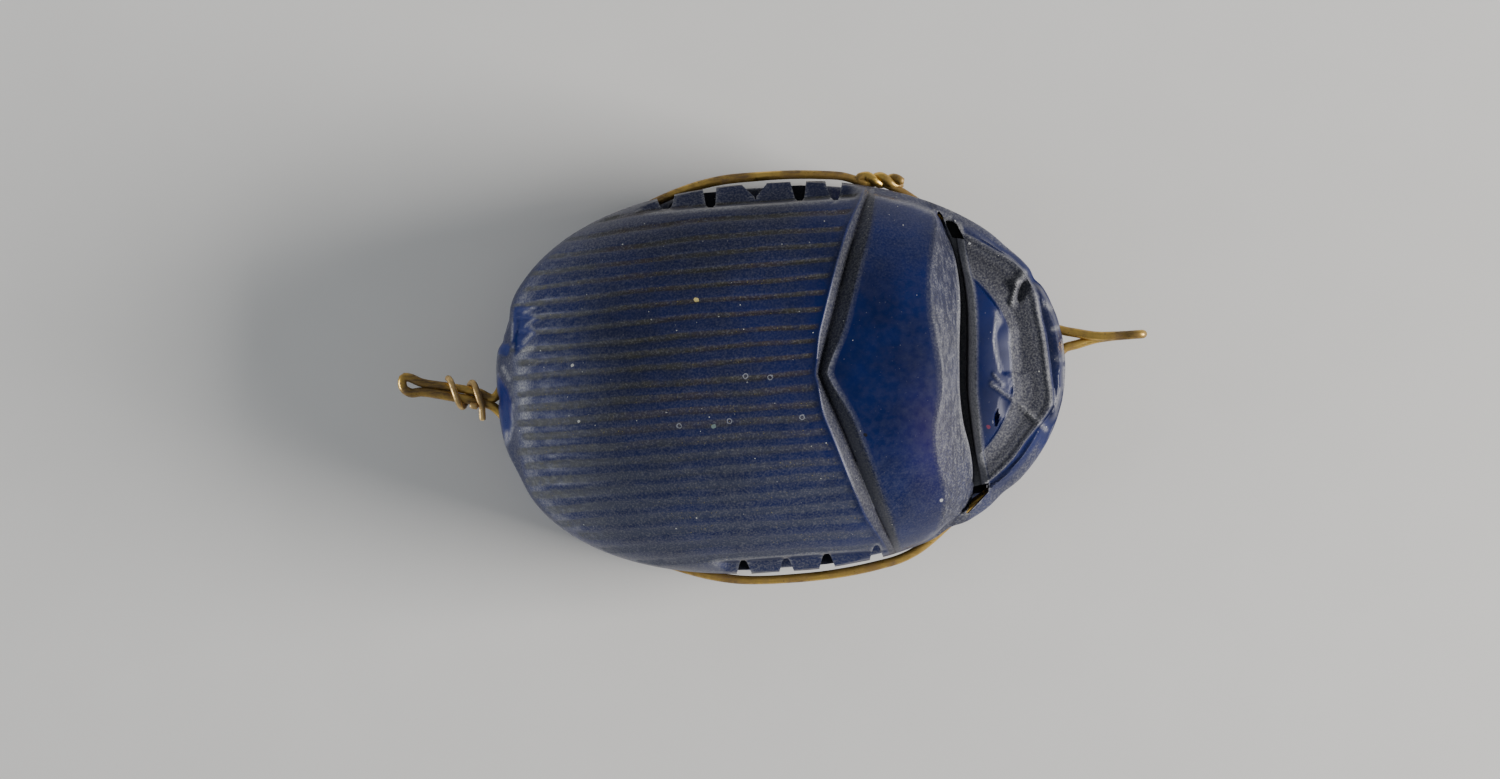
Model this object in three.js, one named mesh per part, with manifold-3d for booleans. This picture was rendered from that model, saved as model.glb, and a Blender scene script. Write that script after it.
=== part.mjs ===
// A scarab amulet of deep blue glass in a gold wire mount.
// Millimetres. +X points to the beetle's head, +Z up, and the origin is the centre of the flat underside.
import * as THREE from 'three';
import { mergeVertices } from 'three/addons/utils/BufferGeometryUtils.js';
import Module from 'manifold-3d';

const wasm = await Module();
wasm.setup();

// Glass body
const bodyLength = 20.0;
const bodyWidth = 13.7;
const bodyHeight = 8.4;
const plateThickness = 1.3;     // flat base plate under the legs
const plateInset = 0.06;        // how far its edge lies inside the back's edge
const rimUnderside = 3.25;      // height where the back's overhanging edge begins
const rimThickness = 0.55;      // upright edge below the dome
const crestFall = 1.2;          // how much lower the dome's crest is at either end
const tailFullness = 2.45;      // exponent of the plan curve behind the middle
const headFullness = 2.1;       // the same in front of it
const domeFullness = 3.0;       // exponents of the dome's section
const domeShoulder = 0.6;

const halfLength = bodyLength / 2;
const halfWidth = bodyWidth / 2;
const rimTop = rimUnderside + rimThickness;

// Striations of the wing cases
const striaPitch = 0.535;
const striaWidth = 0.24;
const striaDepth = 0.15;
const striaTailGap = 0.7;       // plain rim at the tail
const striaSideGap = 0.6;       // and at each flank

// V groove between the wing cases and the thorax. Places along the body are shares of its half length.
const borderApex = 0.125 * halfLength;
const borderSlant = 0.335;      // how far the V runs forward for each millimetre outward
const borderWidth = 0.8;
const borderDepth = 0.5;
const borderLip = 0.2;          // plain strip between the striations and the groove

// Thorax and neck
const thoraxEnd = 0.535 * halfLength;
const thoraxFront = 0.628 * halfLength;
const thoraxDrop = 1.35;        // height that its front slope loses
const neckWidth = 0.57;
const neckRise = 0.15;          // the neck groove's floor above the rim's top
const neckFront = thoraxFront + neckWidth;
const neckFloor = rimTop + neckRise;
const neckWindowStart = 0.63 * halfWidth;   // past this |y| the groove is open to the wire below
const neckWindowRim = 0.22;     // glass left outside each opening

// Head, in rings about an upright axis
const headAxis = 0.41 * halfLength;
const headRadius = halfLength - headAxis;
const headPlateRise = 1.9;      // the plate's rear edge above the rim's top
const headPlateFall = 0.45;     // how much lower the plate is at its front edge
const facePlateWidth = 0.305 * headRadius;  // from the plate's front edge to the head's rim
const faceWidth = 1.1;          // crescent hollow in front of the plate
const faceDepth = 0.5;
const faceRidge = 0.2;          // ridge in front of the hollow, above its floor
const cheekGrooveWidth = 0.36;
const cheekGrooveDepth = 0.35;
const sutureWidth = 0.14;
const sutureHeight = 0.16;
const farSutureEnd = 0.1;       // how far the two sutures run past the ridge
const nearSutureEnd = 0.2;
const browNotchPitch = 0.95;
const browNotchWidth = 0.3;
const browNotchDepth = 0.32;
const browNotchCount = 5;

// Legs in relief, and the notches in each flank's edge
const legInset = 0.1;
const legWidth = 0.95;
const flankNotchWidth = 0.5;
const flankNotchDepth = 0.65;
const flankNotchPitch = 1.52;
const farNotchStart = -0.36 * halfLength;
const farNotchCount = 5;
const nearNotchStart = -0.177 * halfLength;
const nearNotchCount = 4;

// Old chips at the tail
const chipLength = 1.3;         // half the length of the larger one
const chipWidth = 0.42;         // and half its width

// Gold wire of the mount
const wireDiameter = 0.34;
const wireClearance = 0.04;     // between wire and glass
const wireTuck = 0.4;           // how far inside the back's edge its centre lies at the ends
const wireBulge = 0.26;         // how far outside the edge it stands at the flanks
const strandSpacing = 0.3;      // between the strands of a hairpin
const tailEyeletReach = 3.5;    // past the body's end
const tailStrandStart = -0.2;   // the tail strands' distance from the middle line beside the glass
const tailStrandEnd = 0.7;      // and at the eyelet's end
const headEyeletReach = 2.95;
const eyeletWidth = 0.62;
const eyeletLength = 0.85;
const headStrandSpread = 0.33;  // half the strands' distance where they leave the head
const headStrandOffset = 0.62;  // the head eyelet's distance from the middle line
const twistStart = 0.33 * halfLength;
const twistLength = 1.5;
const twistTurns = 1.3;

// Thinner wire wound round the tail strands, with its last end standing off to the near side
const bindingDiameter = 0.24;
const bindingClearance = 0.03;
const bindingReach = 1.74;      // from the body's end to the start of the first turn
const bindingPitch = 0.83;
const bindingTurns = 1.4;
const bindingFirstAngle = 1.1 * Math.PI;
const bindingEndReach = 0.59;
const bindingEndWidth = 0.78;   // from the middle line to the free end

const wireRadius = wireDiameter / 2;
const girdleHeight = rimUnderside - 2 * wireClearance - wireRadius;
const waistInset = wireTuck + wireRadius + wireClearance;
const headPlateHeight = rimTop + headPlateRise;
const stock = 0.3;              // material past an edge that a later cut removes

const glass = new THREE.MeshStandardMaterial({ color: 0x1c2f86, roughness: 0.35, metalness: 0 });
const gold = new THREE.MeshStandardMaterial({ color: 0xb98a3c, roughness: 0.38, metalness: 1 });
const paleGold = new THREE.MeshStandardMaterial({ color: 0xcaa04e, roughness: 0.34, metalness: 1 });

const smooth = THREE.MathUtils.smoothstep;
const mix = THREE.MathUtils.lerp;

function solidOf(geometry) {
  const bare = geometry.clone();
  bare.deleteAttribute('normal');
  bare.deleteAttribute('uv');
  const merged = mergeVertices(bare, 1e-5);
  return new wasm.Manifold(new wasm.Mesh({
    numProp: 3,
    vertProperties: new Float32Array(merged.attributes.position.array),
    triVerts: new Uint32Array(merged.index.array),
  }));
}

function meshOf(solid, name, material) {
  const { vertProperties, triVerts } = solid.getMesh();
  const geometry = new THREE.BufferGeometry();
  geometry.setAttribute('position', new THREE.BufferAttribute(new Float32Array(vertProperties), 3));
  geometry.setIndex(new THREE.BufferAttribute(new Uint32Array(triVerts), 1));
  geometry.computeVertexNormals();
  const mesh = new THREE.Mesh(geometry, material);
  mesh.name = name;
  return mesh;
}

function joined(solids) {
  return solids.reduce((whole, solid) => whole.add(solid));
}

// A flat shape in plan, from Vector2 corners, raised from bottom to top.
function prism(corners, bottom, top) {
  const shape = new THREE.Shape(corners);
  const geometry = new THREE.ExtrudeGeometry(shape, { depth: top - bottom, bevelEnabled: false });
  return solidOf(geometry.translate(0, 0, bottom));
}

const plan = (x, y) => new THREE.Vector2(x, y);

// Corners of a straight band between two points.
function bandCorners(from, to, width) {
  const along = to.clone().sub(from);
  const side = plan(-along.y, along.x).setLength(width / 2);
  return [
    from.clone().sub(side),
    to.clone().sub(side),
    to.clone().add(side),
    from.clone().add(side),
  ];
}

// Plan outline: two halves of a rounded ellipse, fuller at the tail.
function fullness(x) {
  return x < 0 ? tailFullness : headFullness;
}

function outlinePoint(angle, inset = 0) {
  const n = fullness(Math.cos(angle));
  const curve = (value) => Math.sign(value) * Math.abs(value) ** (2 / n);
  const x = halfLength * curve(Math.cos(angle));
  const y = halfWidth * curve(Math.sin(angle));
  const slope = (value, half) => (Math.sign(value) * Math.abs(value / half) ** (n - 1)) / half;
  const outward = plan(slope(x, halfLength), slope(y, halfWidth)).normalize();
  return plan(x, y).addScaledVector(outward, -inset);
}

function outlineHalfWidth(x) {
  const n = fullness(x);
  return halfWidth * (1 - Math.min(Math.abs(x) / halfLength, 1) ** n) ** (1 / n);
}

function outlinePrism(inset, bottom, top) {
  const pointCount = 80;
  const points = [];
  for (let i = 0; i < pointCount; i += 1) {
    points.push(outlinePoint(((i + 0.5) / pointCount) * 2 * Math.PI, inset));
  }
  return prism(points, bottom, top);
}

// Height of the uncarved dome over a point in plan.
function domeHeight(x, y) {
  const n = fullness(x);
  const reach = ((Math.abs(x) / halfLength) ** n + (Math.abs(y) / halfWidth) ** n) ** (1 / n);
  const crest = bodyHeight - crestFall * (x / halfLength) ** 2;
  const share = Math.max(1 - Math.min(reach, 1) ** domeFullness, 0) ** domeShoulder;
  return mix(rimTop, crest, share);
}

// Stations run across the back from the tail to the neck. Each has its line in plan, a depth cut
// from the dome or a floor of its own, and the share of the striations' depth that it carries.
function backStations() {
  const tail = -halfLength + striaTailGap;
  const borderLine = (y) => borderApex + borderSlant * Math.abs(y);
  const borderRear = (y) => borderLine(y) - borderWidth / 2;
  const borderFront = (y) => borderLine(y) + borderWidth / 2;
  const wingEnd = (y) => borderRear(y) - borderLip;
  const stations = [
    { line: () => -halfLength - stock },
    { line: () => -halfLength + striaTailGap / 3 },
    { line: () => tail },
  ];
  for (const share of [0.03, 0.08, 0.15, 0.24, 0.36, 0.5, 0.65, 0.8, 0.93]) {
    stations.push({ line: (y) => mix(tail, wingEnd(y), share), stria: 1 });
  }
  stations.push({ line: wingEnd });
  stations.push({ line: borderRear });
  stations.push({ line: (y) => borderLine(y) - borderWidth / 8, cut: borderDepth });
  stations.push({ line: borderFront });
  for (const share of [0.3, 0.65, 1]) {
    stations.push({ line: (y) => mix(borderFront(y), thoraxEnd, share) });
  }
  stations.push({ line: () => mix(thoraxEnd, thoraxFront, 0.5), cut: thoraxDrop * 0.4 });
  stations.push({ line: () => thoraxFront, cut: thoraxDrop });
  stations.push({ line: () => thoraxFront + neckWidth / 6, floor: neckFloor });
  stations.push({ line: () => neckFront + stock, floor: neckFloor });
  return stations;
}

// Places across the back: three for each striation, and the plain edge beyond them.
function crossPlaces() {
  const striaCount = Math.floor((2 * (halfWidth - striaSideGap)) / striaPitch) + 1;
  const reach = ((striaCount - 1) / 2) * striaPitch;
  const places = [];
  for (let i = 0; i < striaCount; i += 1) {
    const centre = i * striaPitch - reach;
    places.push({ y: centre - striaWidth / 2, stria: 0 });
    places.push({ y: centre, stria: 1 });
    places.push({ y: centre + striaWidth / 2, stria: 0 });
  }
  for (const share of [0.3, 0.55, 0.75, 0.9, 1]) {
    const y = mix(reach + striaWidth / 2, halfWidth + stock, share);
    places.push({ y, stria: 0 });
    places.unshift({ y: -y, stria: 0 });
  }
  return places;
}

// The back as a block whose upper face carries the dome and its carving.
function backBlock() {
  const stations = backStations();
  const places = crossPlaces();
  const geometry = new THREE.BoxGeometry(1, 1, 1, stations.length - 1, places.length - 1, 1);
  const position = geometry.attributes.position;
  for (let i = 0; i < position.count; i += 1) {
    const station = stations[Math.round((position.getX(i) + 0.5) * (stations.length - 1))];
    const place = places[Math.round((position.getY(i) + 0.5) * (places.length - 1))];
    const x = station.line(place.y);
    let z = -stock;
    if (position.getZ(i) > 0) {
      const dome = domeHeight(x, place.y);
      const cut = (station.cut ?? 0) + (station.stria ?? 0) * place.stria * striaDepth;
      z = station.floor === undefined ? Math.max(dome - cut, rimTop) : Math.min(dome, station.floor);
    }
    position.setXYZ(i, x, place.y, z);
  }
  return solidOf(geometry);
}

// The head: flat plate, crescent face, ridge, cheek groove and rim, as rings about one axis.
function headBlock() {
  const plateEdge = headRadius - facePlateWidth;
  const plateEdgeHeight = headPlateHeight - headPlateFall;
  const plateRear = neckFront - headAxis;
  const faceEdge = plateEdge + faceWidth;
  const faceFloor = plateEdgeHeight - faceDepth;
  const ridge = faceFloor + faceRidge;
  const groove = faceEdge + cheekGrooveWidth * 0.6;
  const profile = [
    plan(0, 0),
    plan(headRadius + stock, 0),
    plan(headRadius + stock, rimTop - rimThickness / 4),
    plan(headRadius, rimTop),
    plan(groove + cheekGrooveWidth * 0.6, ridge - cheekGrooveDepth / 2),
    plan(groove, ridge - cheekGrooveDepth),
    plan(faceEdge, ridge),
    plan(faceEdge - faceWidth * 0.08, ridge),
    plan(plateEdge + faceWidth * 0.75, faceFloor + faceRidge * 0.2),
    plan(plateEdge + faceWidth * 0.45, faceFloor),
    plan(plateEdge + faceWidth * 0.12, plateEdgeHeight - faceDepth * 0.6),
    plan(plateEdge, plateEdgeHeight),
    plan(mix(plateRear, plateEdge, 0.5), headPlateHeight - headPlateFall * 0.35),
    plan(plateRear, headPlateHeight),
    plan(0, headPlateHeight),
  ];
  const ringSegments = 64;
  const rings = solidOf(
    new THREE.LatheGeometry(profile, ringSegments).rotateX(Math.PI / 2).translate(headAxis, 0, 0),
  );
  const front = prism(
    [
      plan(neckFront, -bodyWidth), plan(bodyLength, -bodyWidth),
      plan(bodyLength, bodyWidth), plan(neckFront, bodyWidth),
    ],
    -stock,
    bodyHeight,
  );
  const ringPoint = (radius, degrees) => {
    const angle = THREE.MathUtils.degToRad(degrees);
    return plan(headAxis + radius * Math.cos(angle), radius * Math.sin(angle));
  };
  const sutures = [
    [ringPoint(plateEdge + faceWidth * 0.3, 26), ringPoint(faceEdge + farSutureEnd, 32.5)],
    [ringPoint(plateEdge + faceWidth * 0.15, -20.5), ringPoint(faceEdge + nearSutureEnd, -26)],
  ].map(([start, end]) => prism(bandCorners(start, end, sutureWidth), neckFloor, faceFloor + sutureHeight));
  return joined([rings.intersect(front), ...sutures]);
}

// Legs as bands in side view, drawn through the whole width and trimmed to the flanks.
function legRelief() {
  const hip = rimUnderside + stock;
  const knee = mix(plateThickness, rimUnderside, 0.5);
  const foot = plateThickness;
  const legs = [
    [plan(0.44 * halfLength, hip), plan(0.64 * halfLength, knee), plan(0.86 * halfLength, foot)],
    [plan(0.24 * halfLength, hip), plan(0.04 * halfLength, knee), plan(0.16 * halfLength, foot)],
    [plan(-0.06 * halfLength, hip), plan(-0.34 * halfLength, knee), plan(-0.76 * halfLength, foot)],
  ];
  const bands = [];
  for (const [top, bend, end] of legs) {
    for (const corners of [bandCorners(top, bend, legWidth), bandCorners(bend, end, legWidth)]) {
      const band = prism(corners, -bodyWidth, bodyWidth);
      bands.push(band.rotate([90, 0, 0]));
    }
  }
  return joined(bands).intersect(outlinePrism(legInset, plateThickness / 2, rimUnderside + stock));
}

// Notches in the edge of each flank, between the teeth that stand over the legs.
function flankNotches() {
  const rows = [
    { start: farNotchStart, count: farNotchCount, side: 1 },
    { start: nearNotchStart, count: nearNotchCount, side: -1 },
  ];
  const notches = [];
  for (const { start, count, side } of rows) {
    for (let i = 0; i < count; i += 1) {
      const x = start + i * flankNotchPitch;
      const deep = side * (outlineHalfWidth(x) - flankNotchDepth);
      const open = side * (outlineHalfWidth(x) + stock);
      const corners = [
        plan(x - flankNotchWidth * 0.25, deep),
        plan(x + flankNotchWidth * 0.25, deep),
        plan(x + flankNotchWidth * 0.6, open),
        plan(x - flankNotchWidth * 0.6, open),
      ];
      notches.push(prism(corners, plateThickness, bodyHeight));
    }
  }
  return joined(notches);
}

// Small notches that leave teeth along the front edge of the head.
function browNotches() {
  const notches = [];
  for (let i = 0; i < browNotchCount; i += 1) {
    const y = (i - (browNotchCount - 1) / 2 + 0.5) * browNotchPitch;
    const turn = Math.asin(y / headRadius);
    const corners = [
      plan(headRadius - browNotchDepth, 0),
      plan(headRadius + stock, -browNotchWidth),
      plan(headRadius + stock, browNotchWidth),
    ].map((corner) => corner.rotateAround(plan(0, 0), turn).add(plan(headAxis, 0)));
    notches.push(prism(corners, plateThickness, bodyHeight));
  }
  return joined(notches);
}

// Old chips at the tail, as shallow scoops.
function tailChips() {
  const chips = [
    { x: -0.905 * halfLength, y: 0.372 * halfWidth, turn: -0.45, share: 0.7 },
    { x: -0.995 * halfLength, y: -0.06 * halfWidth, turn: 0, share: 1 },
  ];
  return joined(chips.map(({ x, y, turn, share }) => {
    const width = share * chipWidth;
    const scoop = new THREE.SphereGeometry(1, 16, 10).scale(width, share * chipLength, width).rotateZ(turn);
    return solidOf(scoop.translate(x, y, domeHeight(x, y) + width * 0.3));
  }));
}

// The neck groove's ends are open below, inside a rim of glass.
function neckWindows() {
  const openings = [-1, 1].map((side) => prism(
    [
      plan(thoraxFront, side * neckWindowStart),
      plan(neckFront, side * neckWindowStart),
      plan(neckFront, side * halfWidth),
      plan(thoraxFront - neckWidth / 2, side * halfWidth),
    ],
    plateThickness,
    neckFloor + stock,
  ));
  return joined(openings).intersect(outlinePrism(neckWindowRim, 0, bodyHeight));
}

// A round wire along points.
function wireAlong(points, radius, stepLength) {
  const curve = new THREE.CatmullRomCurve3(points, false, 'centripetal');
  const sideCount = 8;
  const corners = [];
  for (let i = 0; i < sideCount; i += 1) {
    corners.push(plan(radius, 0).rotateAround(plan(0, 0), (i / sideCount) * 2 * Math.PI));
  }
  const steps = Math.max(Math.round(curve.getLength() / stepLength), sideCount);
  return solidOf(new THREE.ExtrudeGeometry(new THREE.Shape(corners), { steps, extrudePath: curve }));
}

// A point beside the waist, at the mount wire's height plus a lift.
const beside = (x, y, lift = 0) => new THREE.Vector3(x, y, girdleHeight + lift);

// The wire's centre round the waist: tucked under the edge at the ends, outside it at the flanks.
function girdlePoints(fromDegrees, toDegrees) {
  const points = [];
  const pointCount = Math.ceil(Math.abs(toDegrees - fromDegrees) / 6);
  for (let i = 0; i <= pointCount; i += 1) {
    const angle = THREE.MathUtils.degToRad(mix(fromDegrees, toDegrees, i / pointCount));
    const share = outlinePoint(angle).x / halfLength;
    const flank = smooth(share, -0.66, -0.12) * (1 - smooth(share, 0.36, 0.66));
    const { x, y } = outlinePoint(angle, mix(wireTuck, -wireBulge, flank));
    points.push(beside(x, y));
  }
  return points;
}

// Middle line of the tail strands in plan.
function tailMiddle(x) {
  const share = Math.max(0, -x - halfLength) / tailEyeletReach;
  return mix(tailStrandStart, tailStrandEnd, share ** 0.8);
}

function tailStrand(side) {
  const end = -halfLength - tailEyeletReach;
  const half = (side * strandSpacing) / 2;
  const strandAt = (x) => beside(x, tailMiddle(x) + half);
  return [
    beside(end + wireRadius, tailMiddle(end) - side * wireRadius / 2),
    beside(end + wireRadius, tailMiddle(end) + side * wireRadius / 2),
    beside(end + eyeletLength * 0.4, tailMiddle(end) + (side * eyeletWidth) / 2),
    strandAt(end + eyeletLength),
    strandAt(mix(-halfLength, end, 0.5)),
    strandAt(mix(-halfLength, end, 0.2)),
    strandAt(-halfLength - wireRadius),
  ];
}

function headStrand(side) {
  const end = halfLength + headEyeletReach;
  const half = (side * strandSpacing) / 2;
  const strandAt = (x, spread, lift) => beside(x, headStrandOffset + side * spread, lift);
  return [
    strandAt(end - wireRadius, 0, (-side * wireRadius) / 2),
    strandAt(end - wireRadius, 0, (side * wireRadius) / 2),
    strandAt(end - eyeletLength * 0.4, 0, (side * eyeletWidth) / 2),
    strandAt(end - eyeletLength, 0, half),
    strandAt(mix(halfLength, end, 0.4), headStrandSpread * 0.15, half * 0.8),
    strandAt(mix(halfLength, end, 0.17), headStrandSpread * 0.6, half * 0.3),
    strandAt(halfLength, headStrandSpread, 0),
  ];
}

// One of the two ends that are twisted round each other beside the thorax.
function twistedEnd(phase) {
  const pointCount = 16;
  const points = [];
  for (let i = 0; i <= pointCount; i += 1) {
    const x = twistStart + (i / pointCount) * twistLength;
    const stand = mix(wireBulge, 2.5 * wireRadius, i / pointCount);
    const angle = phase + (i / pointCount) * twistTurns * 2 * Math.PI;
    const around = new THREE.Vector3(0, Math.cos(angle), Math.sin(angle));
    points.push(beside(x, outlineHalfWidth(x) + stand).addScaledVector(around, wireRadius * 0.85));
  }
  return points;
}

const twistAngle = THREE.MathUtils.radToDeg(Math.acos((twistStart / halfLength) ** (headFullness / 2)));
const girdleStrands = [
  [...tailStrand(1), ...girdlePoints(174, twistAngle + 4), ...twistedEnd(Math.PI)],
  [...tailStrand(-1), ...girdlePoints(-172, -3), ...headStrand(-1).reverse()],
  [...headStrand(1), ...girdlePoints(10, twistAngle)],
];
const girdleStep = 0.75;
const fineStep = 0.16;
const mountWire = joined([
  ...girdleStrands.map((points) => wireAlong(points, wireRadius, girdleStep)),
  wireAlong(twistedEnd(0), wireRadius, fineStep),
]);
const wireChannel = joined(
  girdleStrands.map((points) => wireAlong(points, wireRadius + wireClearance, girdleStep)),
);

const sideForm = joined([
  outlinePrism(plateInset, 0, plateThickness),
  outlinePrism(waistInset, plateThickness / 2, bodyHeight + stock),
  outlinePrism(0, rimUnderside, bodyHeight + stock),
  legRelief(),
]);
const carving = joined([flankNotches(), browNotches(), tailChips(), neckWindows(), wireChannel]);
const scarab = joined([backBlock(), headBlock()]).intersect(sideForm).subtract(carving);

// Thinner wire binds the strands at the tail, and crosses over them twice.
function tailBinding() {
  const radius = bindingDiameter / 2;
  const lift = wireRadius + bindingClearance + radius;
  const spread = strandSpacing / 2 + lift;
  const pointCount = 26;
  const points = [];
  for (let i = 0; i <= pointCount; i += 1) {
    const turn = (i / pointCount) * bindingTurns;
    const x = -halfLength - bindingReach + turn * bindingPitch;
    const angle = bindingFirstAngle - turn * 2 * Math.PI;
    points.push(beside(x, tailMiddle(x) - Math.cos(angle) * spread, Math.sin(angle) * lift * 1.2));
  }
  points.push(beside(-halfLength - bindingEndReach, -bindingEndWidth, lift * 0.15));
  return wireAlong(points, radius, fineStep);
}

const amulet = new THREE.Group();
amulet.add(meshOf(scarab, 'scarab', glass));
amulet.add(meshOf(mountWire, 'mount_wire', gold));
amulet.add(meshOf(tailBinding(), 'tail_binding', paleGold));

export default amulet;
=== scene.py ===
# The camera looks straight down on the amulet from about a quarter of a metre, as the photograph does,
# turned so that the beetle's head points right and a little up.
import math
import random

import bpy
import numpy as np
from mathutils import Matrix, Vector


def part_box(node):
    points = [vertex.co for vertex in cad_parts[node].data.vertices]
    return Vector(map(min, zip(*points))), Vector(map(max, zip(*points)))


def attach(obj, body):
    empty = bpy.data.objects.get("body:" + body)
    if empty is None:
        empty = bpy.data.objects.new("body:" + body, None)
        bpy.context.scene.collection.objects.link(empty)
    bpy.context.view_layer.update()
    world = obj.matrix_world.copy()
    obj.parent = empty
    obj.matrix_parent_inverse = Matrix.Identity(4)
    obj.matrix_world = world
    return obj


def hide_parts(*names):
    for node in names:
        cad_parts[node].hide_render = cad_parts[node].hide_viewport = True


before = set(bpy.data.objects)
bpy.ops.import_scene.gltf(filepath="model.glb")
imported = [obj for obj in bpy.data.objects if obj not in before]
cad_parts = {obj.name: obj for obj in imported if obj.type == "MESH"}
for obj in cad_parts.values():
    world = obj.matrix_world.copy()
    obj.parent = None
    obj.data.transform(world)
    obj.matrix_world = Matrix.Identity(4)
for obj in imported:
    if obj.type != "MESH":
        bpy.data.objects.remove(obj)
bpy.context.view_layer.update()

MM = 0.001
picture_width, picture_height = 1500, 779
middle_px = (781, 377)          # where the middle of the glass lies in the picture
px_per_mm = 28.475
amulet_turn = math.radians(4)
camera_distance = 246 * MM
focus_height = 3.5 * MM         # height of the glass's edge, where the scale was taken

offset_right = (picture_width / 2 - middle_px[0]) / px_per_mm * MM
offset_up = (middle_px[1] - picture_height / 2) / px_per_mm * MM
camera_data = bpy.data.cameras.new("camera")
camera_data.sensor_width = 36
camera_data.lens = 36 * camera_distance * px_per_mm / (picture_width * MM)
camera_data.clip_start = 0.01
camera = bpy.data.objects.new("camera", camera_data)
camera.location = (
    offset_right * math.cos(amulet_turn) + offset_up * math.sin(amulet_turn),
    -offset_right * math.sin(amulet_turn) + offset_up * math.cos(amulet_turn),
    camera_distance + focus_height,
)
camera.rotation_euler = (0, 0, -amulet_turn)
bpy.context.collection.objects.link(camera)
bpy.context.scene.camera = camera


# The scarab is one lump of deep blue glass, ground and engraved by hand: striated wing cases, a V groove,
# a smooth thorax, a deep neck groove and a head in rings, over a waist with three legs on each side.
# All its sizes are millimetres. It stands free on its flat base.
glass_low, glass_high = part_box("scarab")
half_length = (glass_high.x - glass_low.x) / 2 / MM - 0.01
half_width = (glass_high.y - glass_low.y) / 2 / MM - 0.01
body_height = glass_high.z / MM - 0.02
tail_fullness, head_fullness = 2.45, 2.1
rim_underside, rim_top = 3.25, 3.8
plate_thickness, plate_inset = 1.3, 0.07
crest_fall, dome_fullness, dome_shoulder = 1.2, 3.0, 0.6
wire_radius, wire_gap = 0.17, 0.04
wire_tuck, wire_bulge = 0.4, 0.26
wire_height = rim_underside - 2 * wire_gap - wire_radius
waist_inset = wire_tuck + wire_radius + wire_gap

stria_count, stria_pitch, stria_depth = 24, 0.535, 0.055
stria_tail_gap = 0.7
wing_lip = 0.1
border_apex, border_slant, border_depth = 1.3, 0.325, 0.42
thorax_drop = 1.35
neck_floor = 4.25
head_axis = 4.1
plate_rear_height, plate_fall = 5.7, 0.45
plate_radius = 4.12
face_depth, face_ridge = 0.4, 0.05
burst_bubbles = ((-3.6, -1.4), (-1.85, -1.35), (0.65, -1.4), (-1.2, 0.15), (-0.35, 0.05))
brow_facets = (  # y, half width, depth
    (1.84, 0.3, 0.2), (1.0, 0.26, 0.22), (0.3, 0.3, 0.16), (-0.7, 0.34, 0.16), (-1.25, 0.26, 0.2),
    (-1.8, 0.3, 0.16),
)
far_notches = (  # x, width outside, width inside, depth
    (-3.6, 0.62, 0.4, 0.46), (-2.04, 0.46, 0.34, 0.72), (-0.46, 0.84, 0.08, 0.58), (1.08, 0.54, 0.34, 0.72),
    (2.32, 0.56, 0.3, 0.68),
)
near_notches = (
    (-1.77, 0.5, 0.26, 0.5), (-0.28, 0.5, 0.26, 0.5), (1.15, 0.54, 0.28, 0.54), (2.9, 0.46, 0.24, 0.5),
)
notch_floor, pit_floor, end_floor = 2.75, 3.45, 1.5     # heights down to which the wedges cut
notch_top, notch_overshoot = 8.6, 0.3
sharp_angle = math.radians(38)
tail_chips = (  # outline in plan, depth
    (((-9.13, 3.1), (-8.28, 3.03), (-8.64, 2.84), (-8.32, 2.55), (-8.66, 2.38), (-8.41, 2.09), (-8.8, 1.74),
      (-9.16, 1.4), (-9.3, 1.9), (-9.22, 2.3), (-9.2, 2.7)), 0.16),
    (((-9.93, 0.84), (-9.72, 0.52), (-9.54, 0.18), (-9.45, -0.24), (-9.43, -0.66), (-9.49, -1.16),
      (-9.61, -1.52), (-9.78, -1.7), (-10.4, -1.7), (-10.4, 0.84)), 0.3),
    (((-9.85, 1.95), (-9.36, 1.75), (-9.47, 1.42), (-9.95, 1.5)), 0.12),
)
dents = (  # x, y, depth, width
    (-9.66, 2.55, 0.2, 0.6), (-9.82, 1.95, 0.08, 0.2), (-9.55, -2.8, 0.1, 0.9), (9.15, 2.85, 0.09, 0.25),
    (8.3, 4.1, 0.05, 0.6), (5.6, -5.82, 0.12, 0.42), (7.5, -4.65, 0.08, 0.5), (-10.0, -0.1, 0.06, 0.2),
)
head_ridges = (  # start, end, height, half width, shine's half width and strength
    ((8.2, 1.95), (8.4, 2.7), 0.11, 0.09, 0.07, 1.0),
    ((8.4, 2.7), (8.75, 3.05), 0.1, 0.12, 0.1, 1.0),
    ((8.24, -1.55), (9.13, -2.5), 0.09, 0.07, 0.06, 0.9),
    ((7.3, -0.75), (7.98, -1.32), 0.08, 0.06, 0.06, 0.8),
    ((7.4, -0.42), (7.66, -0.8), 0.07, 0.055, 0.05, 0.6),
)
head_pits = (  # x, y, turn, half length, half width, depth
    (7.38, -1.95, -0.15, 0.25, 0.085, 0.2), (8.64, 2.46, -0.5, 0.46, 0.17, 0.22),
    (9.38, 1.97, 0.0, 0.06, 0.05, 0.1),
)


def ramp(low, high, value):
    """A soft step from 0 at low to 1 at high. Low may be the larger."""
    share = np.clip((value - low) / (high - low), 0, 1)
    return share * share * (3 - 2 * share)


def bell(value):
    """1 at 0, and fading on both sides of it."""
    return np.exp(-(value**2))


def highest(*values):
    return np.maximum.reduce(values)


def mix(start, end, share):
    return start + (end - start) * share


def eased_between(s, gap, start, end, start_slope, end_slope):
    """The value at a share s of the way over a gap, on a curve with the given slopes at its ends."""
    value = (1 + 2 * s) * (1 - s) ** 2 * start + s * (1 - s) ** 2 * gap * start_slope
    return value + s * s * (3 - 2 * s) * end - s * s * (1 - s) * gap * end_slope


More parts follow.
